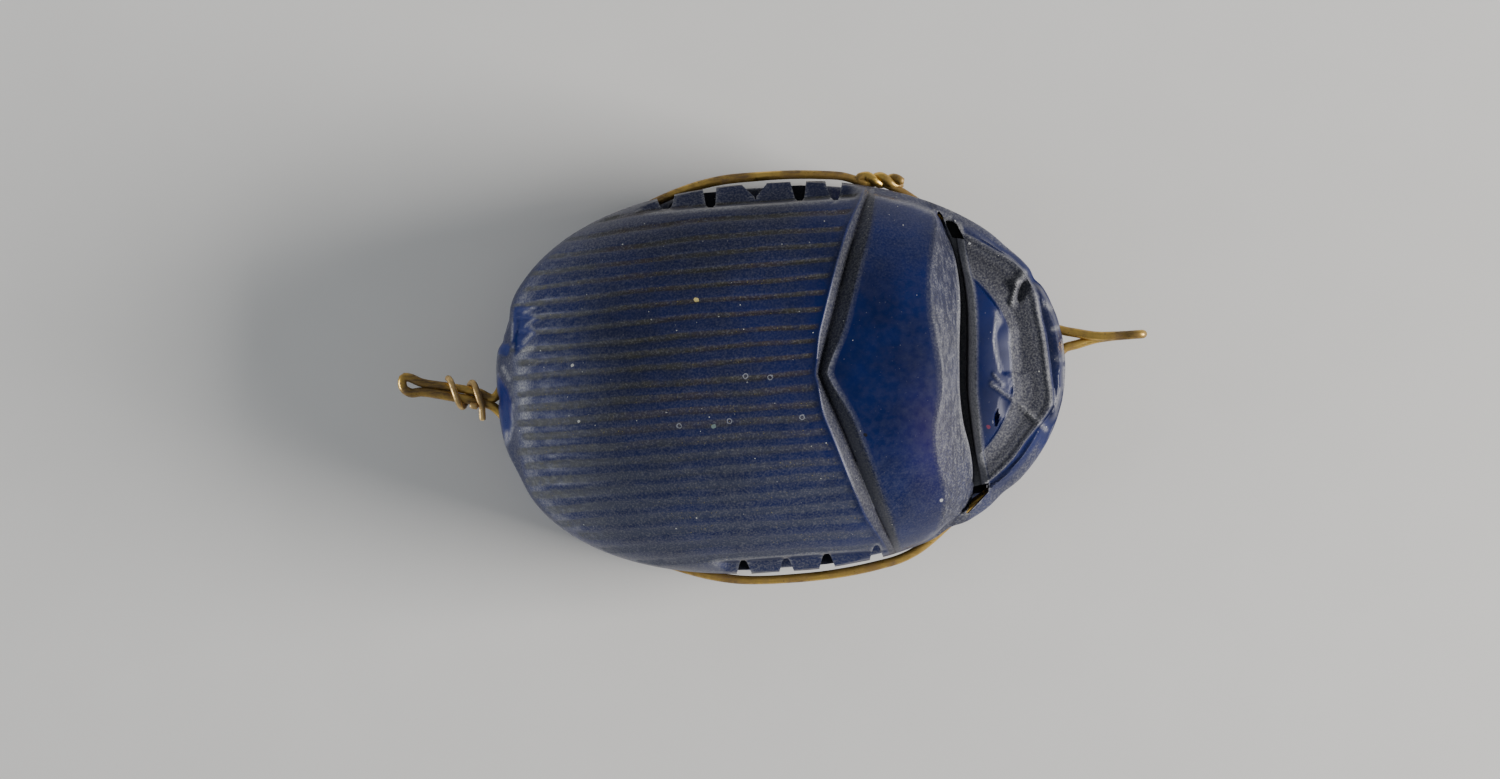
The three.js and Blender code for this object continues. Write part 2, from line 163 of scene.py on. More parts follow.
def line_through(points):
    """A smooth line through (place, value) points, as a function of the place."""
    places, values = np.array(sorted(points)).T
    slopes = np.gradient(values, places)

    def line(at):
        at = np.clip(at, places[0], places[-1])
        i = np.clip(np.searchsorted(places, at) - 1, 0, len(places) - 2)
        gap = places[i + 1] - places[i]
        return eased_between((at - places[i]) / gap, gap, values[i], values[i + 1], slopes[i], slopes[i + 1])

    return line


def ripple(x, seed, scale):
    """A slow hand-made waver between -1 and 1."""
    draw = random.Random(seed)
    total = 0
    for octave in (1.0, 2.3, 4.9):
        total += np.sin(x * octave * scale + draw.uniform(0, 6.3)) / octave
    return total / 1.64


def fullness(x):
    return np.where(x < 0, tail_fullness, head_fullness)


def outline_reach(y, side):
    """x of the glass's edge on the tail side (-1) or the head side (+1), at a distance y across."""
    n = head_fullness if side > 0 else tail_fullness
    share = np.clip(np.abs(y) / half_width, 0, 1)
    return side * half_length * (1 - share**n) ** (1 / n)


def flank_reach(x):
    """y of the glass's edge at a place x along it."""
    n = fullness(x)
    return half_width * (1 - np.abs(x / half_length) ** n) ** (1 / n)


def edge_share(x, y):
    """0 in the middle of the body and 1 on its edge in plan."""
    n = fullness(x)
    return (np.abs(x / half_length) ** n + np.abs(y / half_width) ** n) ** (1 / n)


def dome_height(x, y):
    crest = body_height - crest_fall * (x / half_length) ** 2
    share = np.clip(1 - np.clip(edge_share(x, y), 0, 1) ** dome_fullness, 0, 1) ** dome_shoulder
    return mix(rim_top, crest, share)


groove_draw = random.Random(11)
stria_lines = []
for i in range(stria_count):
    share = i / (stria_count - 1)
    even_place = (i - (stria_count - 1) / 2) * stria_pitch + 0.01
    drift = -0.2 * math.sin(math.pi * share**1.4)
    stria_lines.append(even_place + drift + groove_draw.uniform(-0.035, 0.035))
stria_lines = np.array(stria_lines)


def row_bend(row, x):
    """How far a striation that starts at y = row has moved across by x."""
    inward = -0.05 * np.clip(row, 0, None) * ramp(-2, -8.5, x)
    waver = 0.022 * np.sin(0.8 * x + 1.7 * row) + 0.012 * np.sin(2.1 * x - 2.3 * row)
    return (inward + waver) * ramp(4.5, 2.5, x)


def border_line(y):
    """x of the bottom of the V groove."""
    lower_swell = np.where(y < 0, 0.06 * np.sin(np.pi * np.clip(-y / 5, 0, 1)), 0)
    bend = 0.018 * np.clip(np.abs(y) - 3, 0, None) ** 2
    return border_apex + border_slant * np.sqrt(y * y + 0.01) + lower_swell + bend


def border_rear(y):
    """Width of the V groove's rear bank."""
    arm = np.where(y > 0, 0.35, 0.45) * (1 - 0.4 * ramp(4.8, 6.2, np.abs(y)))
    return mix(0.16, arm, ramp(0, 1.6, np.abs(y)))


def border_front(y):
    return mix(0.26, 0.52, ramp(0, 1.8, np.abs(y))) * (1 - 0.45 * ramp(4.8, 6.3, np.abs(y)))


def border_share(x, y):
    """0 outside the V groove and 1 at its bottom."""
    past = x - border_line(y)
    return np.where(past < 0, 1 + past / border_rear(y), 1 - past / border_front(y)).clip(0, 1)


def rim_start(x, y):
    """The share of the way to the edge where the ground band beside the thorax and the head begins."""
    upper = mix(0.956, 0.968, ramp(6.5, 7.5, x))
    lower = mix(0.986, 0.935, ramp(4.4, 6.6, x)) + 0.025 * ramp(6.9, 7.5, x)
    return np.where(y > 0, upper, lower)


def segment_distance(x, y, start, end):
    """How far a place lies from the line between two points."""
    dx, dy = end[0] - start[0], end[1] - start[1]
    share = np.clip(((x - start[0]) * dx + (y - start[1]) * dy) / (dx * dx + dy * dy), 0, 1)
    return np.hypot(x - start[0] - share * dx, y - start[1] - share * dy)


def inside_chip(x, y, corners):
    """How far inside a chip's outline a place is, in millimetres. It is negative outside."""
    nearest = np.full(np.shape(x), 9.0)
    inside = np.zeros(np.shape(x), bool)
    for start, end in zip(corners, corners[1:] + corners[:1]):
        away = segment_distance(x, y, start, end)
        nearest = np.minimum(nearest, away)
        rise = end[1] - start[1]
        if rise:
            crossed = (start[1] > y) != (end[1] > y)
            inside ^= crossed & (x < start[0] + (y - start[1]) * (end[0] - start[0]) / rise)
    return np.where(inside, nearest, -nearest)


def edge_normal(x, y):
    n = fullness(x)
    normal_x = np.sign(x) * np.abs(x / half_length) ** (n - 1) / half_length
    normal_y = np.sign(y) * np.abs(y / half_width) ** (n - 1) / half_width
    long = np.hypot(normal_x, normal_y)
    return normal_x / long, normal_y / long


def dented(points):
    """The outline's small dents, pushed into the back's edge."""
    x, y, z = points.T
    push = sum(deep * np.exp(-((x - dx) ** 2 + (y - dy) ** 2) / wide**2) for dx, dy, deep, wide in dents)
    push = push * ramp(0.86, 0.97, edge_share(x, y)) * (z > plate_thickness + 1)
    normal_x, normal_y = edge_normal(x, y)
    return np.stack([x - normal_x * push, y - normal_y * push, z], -1)


thorax_end = line_through([
    (-6, 5.0), (-4.5, 5.35), (-3, 5.15), (-2, 5.2), (-1, 5.46), (0, 5.52), (1, 5.4), (2, 5.3), (3, 5.33),
    (4, 5.5), (5, 5.72), (6, 5.4),
])
thorax_front = line_through([
    (-6, 6.0), (-4.9, 6.3), (-4, 6.42), (-3, 6.38), (-2, 6.2), (-1, 6.15), (0, 6.2), (1, 6.28), (2, 6.38),
    (3, 6.4), (4, 6.28), (5, 6.02), (6, 5.7),
])
neck_front = line_through([
    (-5, 7.05), (-4, 6.98), (-3, 6.85), (-2, 6.78), (-1, 6.74), (0, 6.8), (1, 6.88), (2, 6.93), (3, 6.88),
    (4, 6.76), (5, 6.7),
])
face_ring = line_through([  # degrees round the head, radius of the face's ridge
    (-75, 5.0), (-53, 5.0), (-42, 5.03), (-33, 5.06), (-26, 5.2), (-17, 5.42), (-6, 5.22), (3, 5.16),
    (10, 5.18), (17, 5.22), (24, 5.38), (33, 5.48), (38, 5.46), (48, 5.26), (75, 5.22),
])


def ring_x(radius, y):
    return head_axis + np.sqrt(np.clip(radius**2 - y * y, 0, None))


def face_edge_x(y):
    x = ring_x(5.2, y)
    for _ in range(3):
        x = ring_x(face_ring(np.degrees(np.arctan2(y, x - head_axis))), y)
    return x


def stria_cut(x, y, row):
    """Depth of the striations, and how far a place is inside one, from 0 to 1."""
    nearest = np.abs(row[..., None] - stria_lines).argmin(-1)
    away = np.abs(row - stria_lines[nearest])
    half = mix(0.175, 0.115, ramp(-3.5, 2.5, row)) * (1 - 0.2 * ramp(-5, 1, x))
    half = half * (1 + 0.1 * ripple(x, 3, 1.3) * np.sin(nearest * 2.4) + 0.05 * np.sin(5 * x + nearest))
    start = outline_reach(y, -1) + tail_gap(row) + 0.12 * np.sin(nearest * 3.7)
    end = border_line(y) - border_rear(y) - wing_lip + 0.05 * np.sin(nearest * 5.1)
    on = ramp(start - 0.12, start + 0.18, x) * ramp(end, end - 0.16, x)
    inside = np.clip(1 - (away / half) ** 2, 0, 1)
    depth = stria_depth * (1 + 0.25 * np.sin(1.9 * x + nearest * 1.3))
    crown = 0.008 * ramp(0.1, 0.25, away) * on
    return depth * inside**1.3 * on - crown, inside * on


def tail_gap(row):
    return stria_tail_gap - 0.52 * ramp(0.8, 3.8, np.abs(row))


def plate_edge(angle):
    """The smooth head plate's radius, flatter where the flake came off."""
    return plate_radius - 0.15 * ramp(16, 5, np.abs(angle))


def head_height(x, y):
    radius = np.hypot(x - head_axis, y)
    angle = np.degrees(np.arctan2(y, x - head_axis))
    plate_end = plate_edge(angle)
    plate_share = np.clip((radius - 2.7) / (plate_end - 2.7), 0, 1.2)
    plate = plate_rear_height - plate_fall * plate_share**1.5
    left = 7.47 + 0.2 * ((y - 0.7) / 1.15) ** 2
    flake = ramp(left, left + 0.09 + 0.26 * ramp(0.9, 1.5, y), x) * ramp(-0.5, -0.36, y)
    plate -= 0.07 * flake * ramp(2.0, 1.8, y)
    flake = np.clip(1 - ((x - 7.72) / 0.24) ** 2 - ((y + 1.55) / 0.4) ** 2, 0, 1)
    plate -= 0.06 * np.sqrt(flake)
    edge_height = plate_rear_height - plate_fall
    ring = face_ring(angle)
    share = (radius - plate_end) / (ring - plate_end)
    fall = 1 - (1 - np.clip(share, 0, 1)) ** 1.2
    face = np.minimum(plate, edge_height) - 0.07 * ramp(-0.03, 0.04, share) - (face_depth - 0.07) * fall
    face = np.maximum(face, edge_height - face_depth) + face_ridge * ramp(0.84, 0.98, share)
    ridge_height = edge_height - face_depth + face_ridge
    past = radius - ring
    brow = ramp(-24, -20, angle) * ramp(29, 25, angle)
    groove = ridge_height - 0.34 * ramp(0.04, 0.14, past)
    groove += 0.22 * ramp(0.24, 0.34, past) * (1 - brow)
    reach = edge_share(x, y)
    cheek_slope = mix(4.62, rim_top, ramp(0.93, 1.0, reach) ** 1.5)
    brow_slope = 4.62 - 0.08 * ramp(0.93, 0.98, reach) - 0.74 * ramp(0.972, 1.0, reach) ** 1.5
    slope = mix(cheek_slope, brow_slope, brow)
    groove = np.where(past > 0.2, np.minimum(groove, slope), groove)
    height = np.where(share < -0.1, plate, np.where(share < 1, face, groove))
    for start, end, tall, wide, _, _ in head_ridges:
        away = segment_distance(x, y, start, end)
        height += tall * bell(away / wide)
    for pit_x, pit_y, turn, long, wide, deep in head_pits:
        along = (y - pit_y) * math.cos(turn) - (x - pit_x) * math.sin(turn)
        across = (x - pit_x) * math.cos(turn) + (y - pit_y) * math.sin(turn)
        height -= deep * np.sqrt(np.clip(1 - (along / long) ** 2 - (across / wide) ** 2, 0, 1))
    for facet_y, wide, deep in brow_facets:
        facet_x = outline_reach(facet_y, 1)
        facet = 1 - ((x - facet_x) / (wide * 0.8)) ** 2 - ((y - facet_y) / wide) ** 2
        height -= deep * np.clip(facet, 0, 1)
    return height


def top_height(x, y, row):
    """Height of the carved top over a place in plan."""
    dome = dome_height(x, y)
    reach = edge_share(x, y)
    cut, _ = stria_cut(x, y, row)
    height = dome - cut
    past = x - border_line(y)
    share = border_share(x, y)
    depth = border_depth * (1 - 0.5 * ramp(5.4, 6.6, np.abs(y))) * (1 + 0.08 * ripple(y, 5, 1.1))
    height -= depth * np.where(past < 0, share**1.25, share**1.3)
    lip = bell((past + border_rear(y) + 0.04) / 0.06)
    height += 0.03 * lip * ramp(6.6, 5.8, np.abs(y))
    front_share = np.clip((x - thorax_end(y) - 0.06) / (thorax_front(y) - thorax_end(y) - 0.06), 0, 1)
    height -= thorax_drop * front_share**1.35
    neck = np.minimum(dome, neck_floor)
    height = mix(height, neck, np.clip((x - thorax_front(y)) / 0.08, 0, 1))
    rise = np.clip((x - neck_front(y) + 0.3) / 0.34, 0, 1)
    wall = 0.66 * ramp(0, 0.14, rise) + 0.34 * (1 - (1 - rise) ** 2)
    height = np.where(rise > 0, mix(neck, head_height(x, y), wall), height)
    for side, foot, start, end in ((1, 6.08, -4.4, 3.0), (-1, 6.28, -2.5, 3.4)):
        across = side * y - foot
        ledge = ramp(start - 0.3, start + 0.2, x) * ramp(end + 0.2, end - 0.2, x)
        ledge_height = 4.75 - 0.75 * across - 0.06 * bell(across / 0.07)
        ledge = ledge * ramp(-0.06, 0.07, across)
        height = mix(height, np.minimum(height, ledge_height), ledge)
    band = rim_top + 0.6 * np.clip((1 - reach) / 0.044, 0, 1.2) ** 0.8
    band_on = ramp(3.3, 3.7, x) * ramp(9.3, 8.8, x) * ramp(0, 0.012, reach - rim_start(x, y))
    crease = bell((reach - rim_start(x, y)) / 0.006) * ramp(3.3, 3.7, x) * ramp(6.0, 5.5, x)
    height = mix(height, band, band_on) - 0.05 * crease
    for corners, deep in tail_chips:
        height -= deep * ramp(-0.03, 0.16, inside_chip(x, y, corners))
    return np.maximum(height, np.where(reach > 0.9, 3.5, 3.3))


def top_grid():
    """Rows follow the striations, and the places along a row follow the carving's own lines."""
    rows = []
    for left, right in zip(stria_lines[:-1], stria_lines[1:]):
        rows.extend(mix(left, right, share) for share in (0, 0.1, 0.2, 0.32, 0.5, 0.68, 0.8, 0.9))
    rows.append(stria_lines[-1])
    flank_start = -outline_reach(stria_lines[-1], -1)
    flank_x = np.linspace(flank_start, 0.06 * half_length, 31)[1:]
    upper = flank_reach(-flank_x)
    lower = -upper * mix(-stria_lines[0] / stria_lines[-1], 1, np.linspace(0, 1, 31)[1:] ** 0.5)
    rows = np.concatenate([lower[::-1], rows, upper])
    tail = outline_reach(rows, -1)
    for _ in range(6):
        tail_y = rows + row_bend(rows, tail)
        tail = outline_reach(np.clip(tail_y, -half_width * 0.9995, half_width * 0.9995), -1)
    head = outline_reach(rows, 1)
    y = rows
    border = border_line(y)
    lines = [  # where each stretch of a row ends, and its number of steps
        (tail + tail_gap(rows), 10),
        (tail + tail_gap(rows) + 0.9, 9),
        (border - border_rear(y) - wing_lip, 56),
        (border - border_rear(y), 3),
        (border, 6),
        (border + border_front(y), 7),
        (thorax_end(y), 16),
        (thorax_front(y), 13),
        (thorax_front(y) + 0.08, 2),
        (neck_front(y) - 0.3, 3),
        (neck_front(y) - 0.25, 2),
        (neck_front(y) + 0.04, 6),
        (ring_x(plate_radius, y), 22),
        (ring_x(plate_radius + 0.4, y), 9),
        (face_edge_x(y), 13),
        (face_edge_x(y) + 0.22, 4),
        (head, 10),
    ]
    columns = [tail]
    previous = tail
    for line, count in lines:
        line = np.clip(line, previous, head)
        for k in range(1, count + 1):
            columns.append(mix(previous, line, k / count))
        previous = line
    x = np.array(columns).T
    row = np.repeat(rows[:, None], x.shape[1], axis=1)
    y = row + row_bend(row, x)
    return x, y, row


def leg_mask(x, z, side):
    """0 on the waist and 1 on a leg in relief, seen from the side."""
    shift = 0.12 * side
    legs = (
        ((4.4, 3.55), (6.4, 2.28), (8.6, 1.3)),
        ((2.4, 3.55), (0.4, 2.28), (1.6, 1.3)),
        ((-0.6, 3.55), (-3.4, 2.28), (-7.6, 1.3)),
    )
    nearest = np.full(np.shape(x), 9.0)
    for hip, knee, foot in legs:
        for start, end in ((hip, knee), (knee, foot)):
            away = segment_distance(x + shift, z, start, end)
            nearest = np.minimum(nearest, away)
    return ramp(0.56, 0.36, nearest), nearest


def wire_inset(x):
    """How far inside the glass's edge the mount wire's centre runs. It is negative at the flanks."""
    share = x / half_length
    flank = ramp(-0.66, -0.12, share) * (1 - ramp(0.36, 0.66, share))
    return mix(wire_tuck, -wire_bulge, flank)


def side_rings(edge_x, edge_y, edge_z):
    """Rings down the side, from the back's edge to the base, as lists of points."""
    normal_x, normal_y = edge_normal(edge_x, edge_y)
    side = np.sign(edge_y)
    profile = [(3.66, 0.0), (3.5, 0.0), (3.36, 0.01), (3.28, 0.04), (3.25, 0.1), (3.245, 0.3), (3.24, 0.52)]
    for k in range(24):
        profile.append((mix(3.2, 1.44, k / 23), waist_inset + 0.02 * math.sin(math.pi * k / 23)))
    profile += [(1.38, 0.58), (1.33, 0.48), (1.31, 0.36), (1.3, 0.22), (1.28, 0.12)]
    profile.append((1.22, plate_inset + 0.01))
    profile += [(z, plate_inset) for z in (1.0, 0.6, 0.2)]
    profile += [(0.06, plate_inset + 0.03), (0.015, plate_inset + 0.08), (0.0, plate_inset + 0.16)]
    rings = []
    for z, inset in profile:
        height = np.minimum(z, edge_z - 0.01) if z > rim_underside else np.full(edge_x.shape, float(z))
        depth = np.full(edge_x.shape, float(inset))
        if plate_thickness < z < rim_underside:
            on_leg, away = leg_mask(edge_x, z, side)
            leg_depth = 0.1 + 0.12 * np.clip(away / 0.475, 0, 1) ** 2
            depth = mix(depth, np.minimum(depth, leg_depth), on_leg)
            off = wire_radius + wire_gap
            half = math.sqrt(max(off**2 - (z - wire_height) ** 2, 0))
            if half:
                depth = np.maximum(depth, wire_inset(edge_x) + half)
        if z < plate_thickness:
            depth += 0.015 * ripple(np.arctan2(edge_y, edge_x), 8, 5)
        rings.append(np.stack([edge_x - normal_x * depth, edge_y - normal_y * depth, height], -1))
    return rings


def scarab_mesh():
    x, y, row = top_grid()
    z = top_height(x, y, row)
    row_count, column_count = x.shape
    index = np.arange(row_count * column_count).reshape(row_count, column_count)
    for k in range(1, column_count):
        same = x[:, k] - x[:, k - 1] < 1e-5
        index[same, k] = index[same, k - 1]
    edge = list(index[0]) + list(index[1:, -1]) + list(index[-1, ::-1]) + list(index[::-1, 0])
    loop = [edge[0]]
    for v in edge[1:]:
        if v != loop[-1] and v != loop[0]:
            loop.append(v)
    points = np.stack([x, y, z], -1).reshape(-1, 3)
    points[loop, 2] = np.minimum(points[loop, 2], rim_top)
    faces = []
    for j in range(row_count - 1):
        for k in range(column_count - 1):
            corners = [index[j, k], index[j, k + 1], index[j + 1, k + 1], index[j + 1, k]]
            kept = [v for n, v in enumerate(corners) if v != corners[n - 1]]
            if len(kept) > 2:
                faces.append(kept)
    rings = side_rings(*points[loop].T)
    everything = [dented(part) for part in [points] + rings]
    above = np.array(loop)
    start = len(points)
    for ring in rings:
        below = np.arange(start, start + len(loop))
        following = np.roll(np.arange(len(loop)), -1)
        for k, m in enumerate(following):
            faces.append([above[m], above[k], below[k], below[m]])
        above = below
        start += len(loop)
    faces.append(list(above[::-1]))
    used = np.unique(np.concatenate([np.array(f) for f in faces]))
    renumber = np.full(start, -1)
    renumber[used] = np.arange(len(used))
    mesh = bpy.data.meshes.new("scarab_glass")
    kept_points = (np.concatenate(everything)[used] * MM).tolist()
    mesh.from_pydata(kept_points, [], [[int(renumber[v]) for v in f] for f in faces])
    mesh.validate()
    return mesh


def cutter_mesh():
    """Upright wedges: the notches in the flanks, and the open ends of the neck groove."""
    wedges = []
    for notches, side in ((far_notches, 1), (near_notches, -1)):
        for at, outer, inner, deep in notches:
            reach = float(flank_reach(at))
            half = [(inner / 4, deep), (inner / 2, deep * 0.82), (outer / 2, deep * 0.1)]
            half.append((outer / 2 + 0.03, -notch_overshoot))
            plan = half + [(-along, inwards) for along, inwards in half[::-1]]
            corners = [(at + along, side * (reach - inwards)) for along, inwards in plan]
            wedges.append((corners, notch_floor, notch_top))
    pit = [(6.32, 4.45), (6.72, 4.35), (6.5, 4.92), (6.32, 5.04), (6.13, 5.06), (6.14, 4.9)]
    far_end = [(6.04, 5.12), (6.09, 5.15), (5.97, 5.3), (5.87, 5.34), (5.84, 5.27), (5.94, 5.13)]
    near_end = [
        (6.44, -4.3), (6.98, -4.2), (6.96, -4.52), (6.6, -4.86), (6.2, -5.22), (6.12, -5.2), (6.36, -4.8),
    ]
    wedges += [(pit, pit_floor, 5.2), (far_end, end_floor, 5.3), (near_end, end_floor, 5.2)]
    points, faces = [], []
    for corners, bottom, top in wedges:
        area = sum(a[0] * b[1] - b[0] * a[1] for a, b in zip(corners, corners[1:] + corners[:1]))
        if area < 0:
            corners = corners[::-1]
        start, count = len(points), len(corners)
        points += [(cx * MM, cy * MM, bottom * MM) for cx, cy in corners]
        points += [(cx * MM, cy * MM, top * MM) for cx, cy in corners]
        faces.append([start + k for k in range(count)][::-1])
        faces.append([start + count + k for k in range(count)])
        for k in range(count):
            m = (k + 1) % count
            faces.append([start + k, start + m, start + count + m, start + count + k])
    mesh = bpy.data.meshes.new("wedges")
    mesh.from_pydata(points, [], faces)
    return mesh


def placed(name, data):
    """A new object in the scene."""
    thing = bpy.data.objects.new(name, data)
    bpy.context.collection.objects.link(thing)
    return thing


scarab = placed("carved_scarab", scarab_mesh())
wedges = placed("wedges", cutter_mesh())
carve = scarab.modifiers.new("notches", "BOOLEAN")
carve.object = wedges
carve.operation = "DIFFERENCE"
carve.solver = "EXACT"
carved = bpy.data.meshes.new_from_object(scarab.evaluated_get(bpy.context.evaluated_depsgraph_get()))
scarab.modifiers.clear()
scarab.data = carved
bpy.data.objects.remove(wedges)
carved.name = "scarab_glass"
for polygon in carved.polygons:
    polygon.use_smooth = True
carved.set_sharp_from_angle(angle=sharp_angle)


def row_of(x, y):
    row = y
    for _ in range(3):
        row = y - row_bend(row, x)
    return row


def read_all(items, name, width=1, kind=float):
    """One property of every item, with a row for each where it has several numbers."""
    values = np.empty(len(items) * width, dtype=kind)
    items.foreach_get(name, values)
    return values.reshape(-1, width) if width > 1 else values


def paint(mesh, name, values):
    layer = mesh.attributes.new(name, "FLOAT", "POINT")
    layer.data.foreach_set("value", np.ascontiguousarray(np.clip(values, 0, 1), dtype=np.float32))


def paint_corners(mesh, name, values, dark_faces):
    """Values from the vertices, and 1 all over the given faces."""
    vertex = read_all(mesh.loops, "vertex_index", kind=np.int64)
    count = read_all(mesh.polygons, "loop_total", kind=np.int64)
    layer = mesh.attributes.new(name, "FLOAT", "CORNER")
    both = np.maximum(np.clip(values, 0, 1)[vertex], np.repeat(dark_faces, count))
    layer.data.foreach_set("value", np.ascontiguousarray(both, dtype=np.float32))


def bulge_of(points, normals, edges, rounds):
    """How far each vertex stands out of its smoothed surroundings, in millimetres."""
    smooth = points.copy()
    degree = np.bincount(edges.ravel(), minlength=len(points))[:, None].clip(1)
    for _ in range(rounds):
        total = np.zeros_like(smooth)
        np.add.at(total, edges[:, 0], smooth[edges[:, 1]])
        np.add.at(total, edges[:, 1], smooth[edges[:, 0]])
        smooth = total / degree
    return ((points - smooth) * normals).sum(1)


def sheer_notch_faces(mesh):
    """True on the upright faces of the flank notches and on the pit's floor, which get full painted shade."""
    x, y, z = read_all(mesh.polygons, "center", 3).T / MM
    normal_x, _, normal_z = read_all(mesh.polygons, "normal", 3).T
    found = (z > pit_floor - 0.03) & (z < pit_floor + 0.03) & (normal_z > 0.99)
    for notches, side in ((far_notches, 1), (near_notches, -1)):
        for at, outer, _, deep in notches:
            depth_in = flank_reach(at) - side * y
            inside = (np.abs(x - at) < outer / 2 + 0.06) & (depth_in < deep + 0.02) & (z > notch_floor - 0.05)
            sheer = (np.abs(normal_x) > 0.5) | (depth_in > deep * 0.85)
            found |= inside & sheer & (np.abs(normal_z) < 0.05)
    return found


# Where each vertex lies. Each zone's value is 0 outside it and 1 well inside it.
points = read_all(carved.vertices, "co", 3) / MM
normals = read_all(carved.vertex_normals, "vector", 3)
bulge = bulge_of(points, normals, read_all(carved.edges, "vertices", 2, np.int64), 3)
vx, vy, vz = points.T
out_y = np.abs(vy)
row = row_of(vx, vy)
reach = edge_share(vx, vy)
on_top = ramp(0.05, 0.3, normals[:, 2]) * ramp(3.2, 3.5, vz)
lower = ramp(1.0, -4.5, vy)
_, in_stria = stria_cut(vx, vy, row)
in_border = border_share(vx, vy)
behind_border = vx < border_line(vy)
rear_bank = (in_border > 0.02) * behind_border
slope_start, slope_end, neck_end = thorax_end(vy), thorax_front(vy), neck_front(vy)
past_thorax_end = ramp(slope_start - 0.22, slope_start + 0.16, vx)
in_slope = past_thorax_end * ramp(slope_end + 0.1, slope_end, vx)
in_rim = ramp(0, 0.012, reach - rim_start(vx, vy)) * ramp(3.3, 3.7, vx)
on_head = ramp(neck_end - 0.02, neck_end + 0.05, vx)
neck_zone = ramp(0.97, 0.955, reach) * ramp(3.8, 4.0, vz) * (1 - in_rim)
past_thorax = ramp(slope_end, slope_end + 0.1, vx)
in_neck = past_thorax * ramp(neck_end + 0.02, neck_end - 0.05, vx) * neck_zone
past_neck_floor = ramp(neck_end - 0.3, neck_end - 0.26, vx)
# Painted light: the neck groove's front wall, and more faintly its floor, are painted pale, partly dusty
# ground glass and partly standing in for light bounced off the thorax's slope.
neck_wall = past_neck_floor * ramp(neck_end + 0.03, neck_end - 0.04, vx) * neck_zone
# A painted highlight: a thin light line along the head plate's edge at the neck.
neck_edge_highlight = bell((vx - neck_end - 0.02) / 0.05) * ramp(-3.9, -3.0, vy) * ramp(4.2, 3.0, vy)
head_radius = np.hypot(vx - head_axis, vy)
head_angle = np.degrees(np.arctan2(vy, vx - head_axis))
ring = face_ring(head_angle)
head_share = (head_radius - plate_edge(head_angle)) / (ring - plate_edge(head_angle))
past_ring = head_radius - ring
on_plate = on_head * ramp(0.0, -0.04, head_share)
in_face = ramp(-0.04, 0.02, head_share) * ramp(1.12, 1.05, head_share) * on_head
in_cheek_groove = ramp(0.05, 0.1, past_ring) * ramp(0.33, 0.25, past_ring) * on_head
on_brow = ramp(0.1, 0.16, past_ring) * on_head * ramp(-24, -20, head_angle) * ramp(29, 25, head_angle)
ridge_start = outline_reach(vy, -1) + tail_gap(row)
on_tail_facet = ramp(ridge_start + 0.05, ridge_start - 0.1, vx) * (vx < -5)
chip = ramp(-0.04, 0.03, np.max([inside_chip(vx, vy, corners) for corners, _ in tail_chips], axis=0))
unchipped = 1 - chip

# A grey haze over the polish: more on the near side, at the flanks, the border and the tail.
grey_haze = (
    0.12 * lower * ramp(3, 1, vx) + 0.13 * ramp(2.0, 5.5, out_y) + 0.13 * ramp(1.6, 0.6, vx)
    + 0.06 * ramp(-4.5, -6.8, vx) + 0.06 * ramp(1.5, -2, vx) + 0.08 * ramp(-2, -4, vy) * (vx > 1)
    + 0.05 * ramp(2, 4, vy) + 0.04 * ramp(2.5, 1, out_y) * ramp(1.5, -2, vx)
    + 0.12 * ramp(5.9, 6.2, out_y) * ramp(3.4, 3.0, vx) + 0.08 * ramp(4.2, 5.4, vy) * ramp(-3, -5, vx)
)
ground = highest(
    np.where(behind_border, 0.78, 0.9) * ramp(0.02, 0.2, in_border),
    in_slope * (1 - 0.15 * ramp(1, 3, vy)),
    in_face,
    0.6 * in_rim * ramp(9.0, 8.7, vx) * (1 - in_cheek_groove),
    0.25 * ramp(-8.0, -9.2, vx),
    grey_haze,
    0.4 * on_tail_facet,
)
ground = mix(ground, 0.16, on_brow)
groove_dirt = np.maximum(0.9 * ramp(0.0, 0.5, in_stria), 0.3 * ramp(0.6, 0.95, in_border))
bluish = np.maximum(lower * (1 - on_head), 0.6 * ramp(-4.5, -7.5, vx))
frost = highest(
    (0.3 + 0.7 * ramp(-0.5, -2.5, vy)) * ramp(0.1, 0.5, in_border) * (vx > border_line(vy)),
    in_face * (0.12 * ramp(0.45, 0.8, head_share) + 0.15 * ramp(-1.5, -2.6, vy)) * ramp(1.0, 0.9, head_share),
    in_slope * 0.6 * bell((vy + 0.4) / 2.0),
)

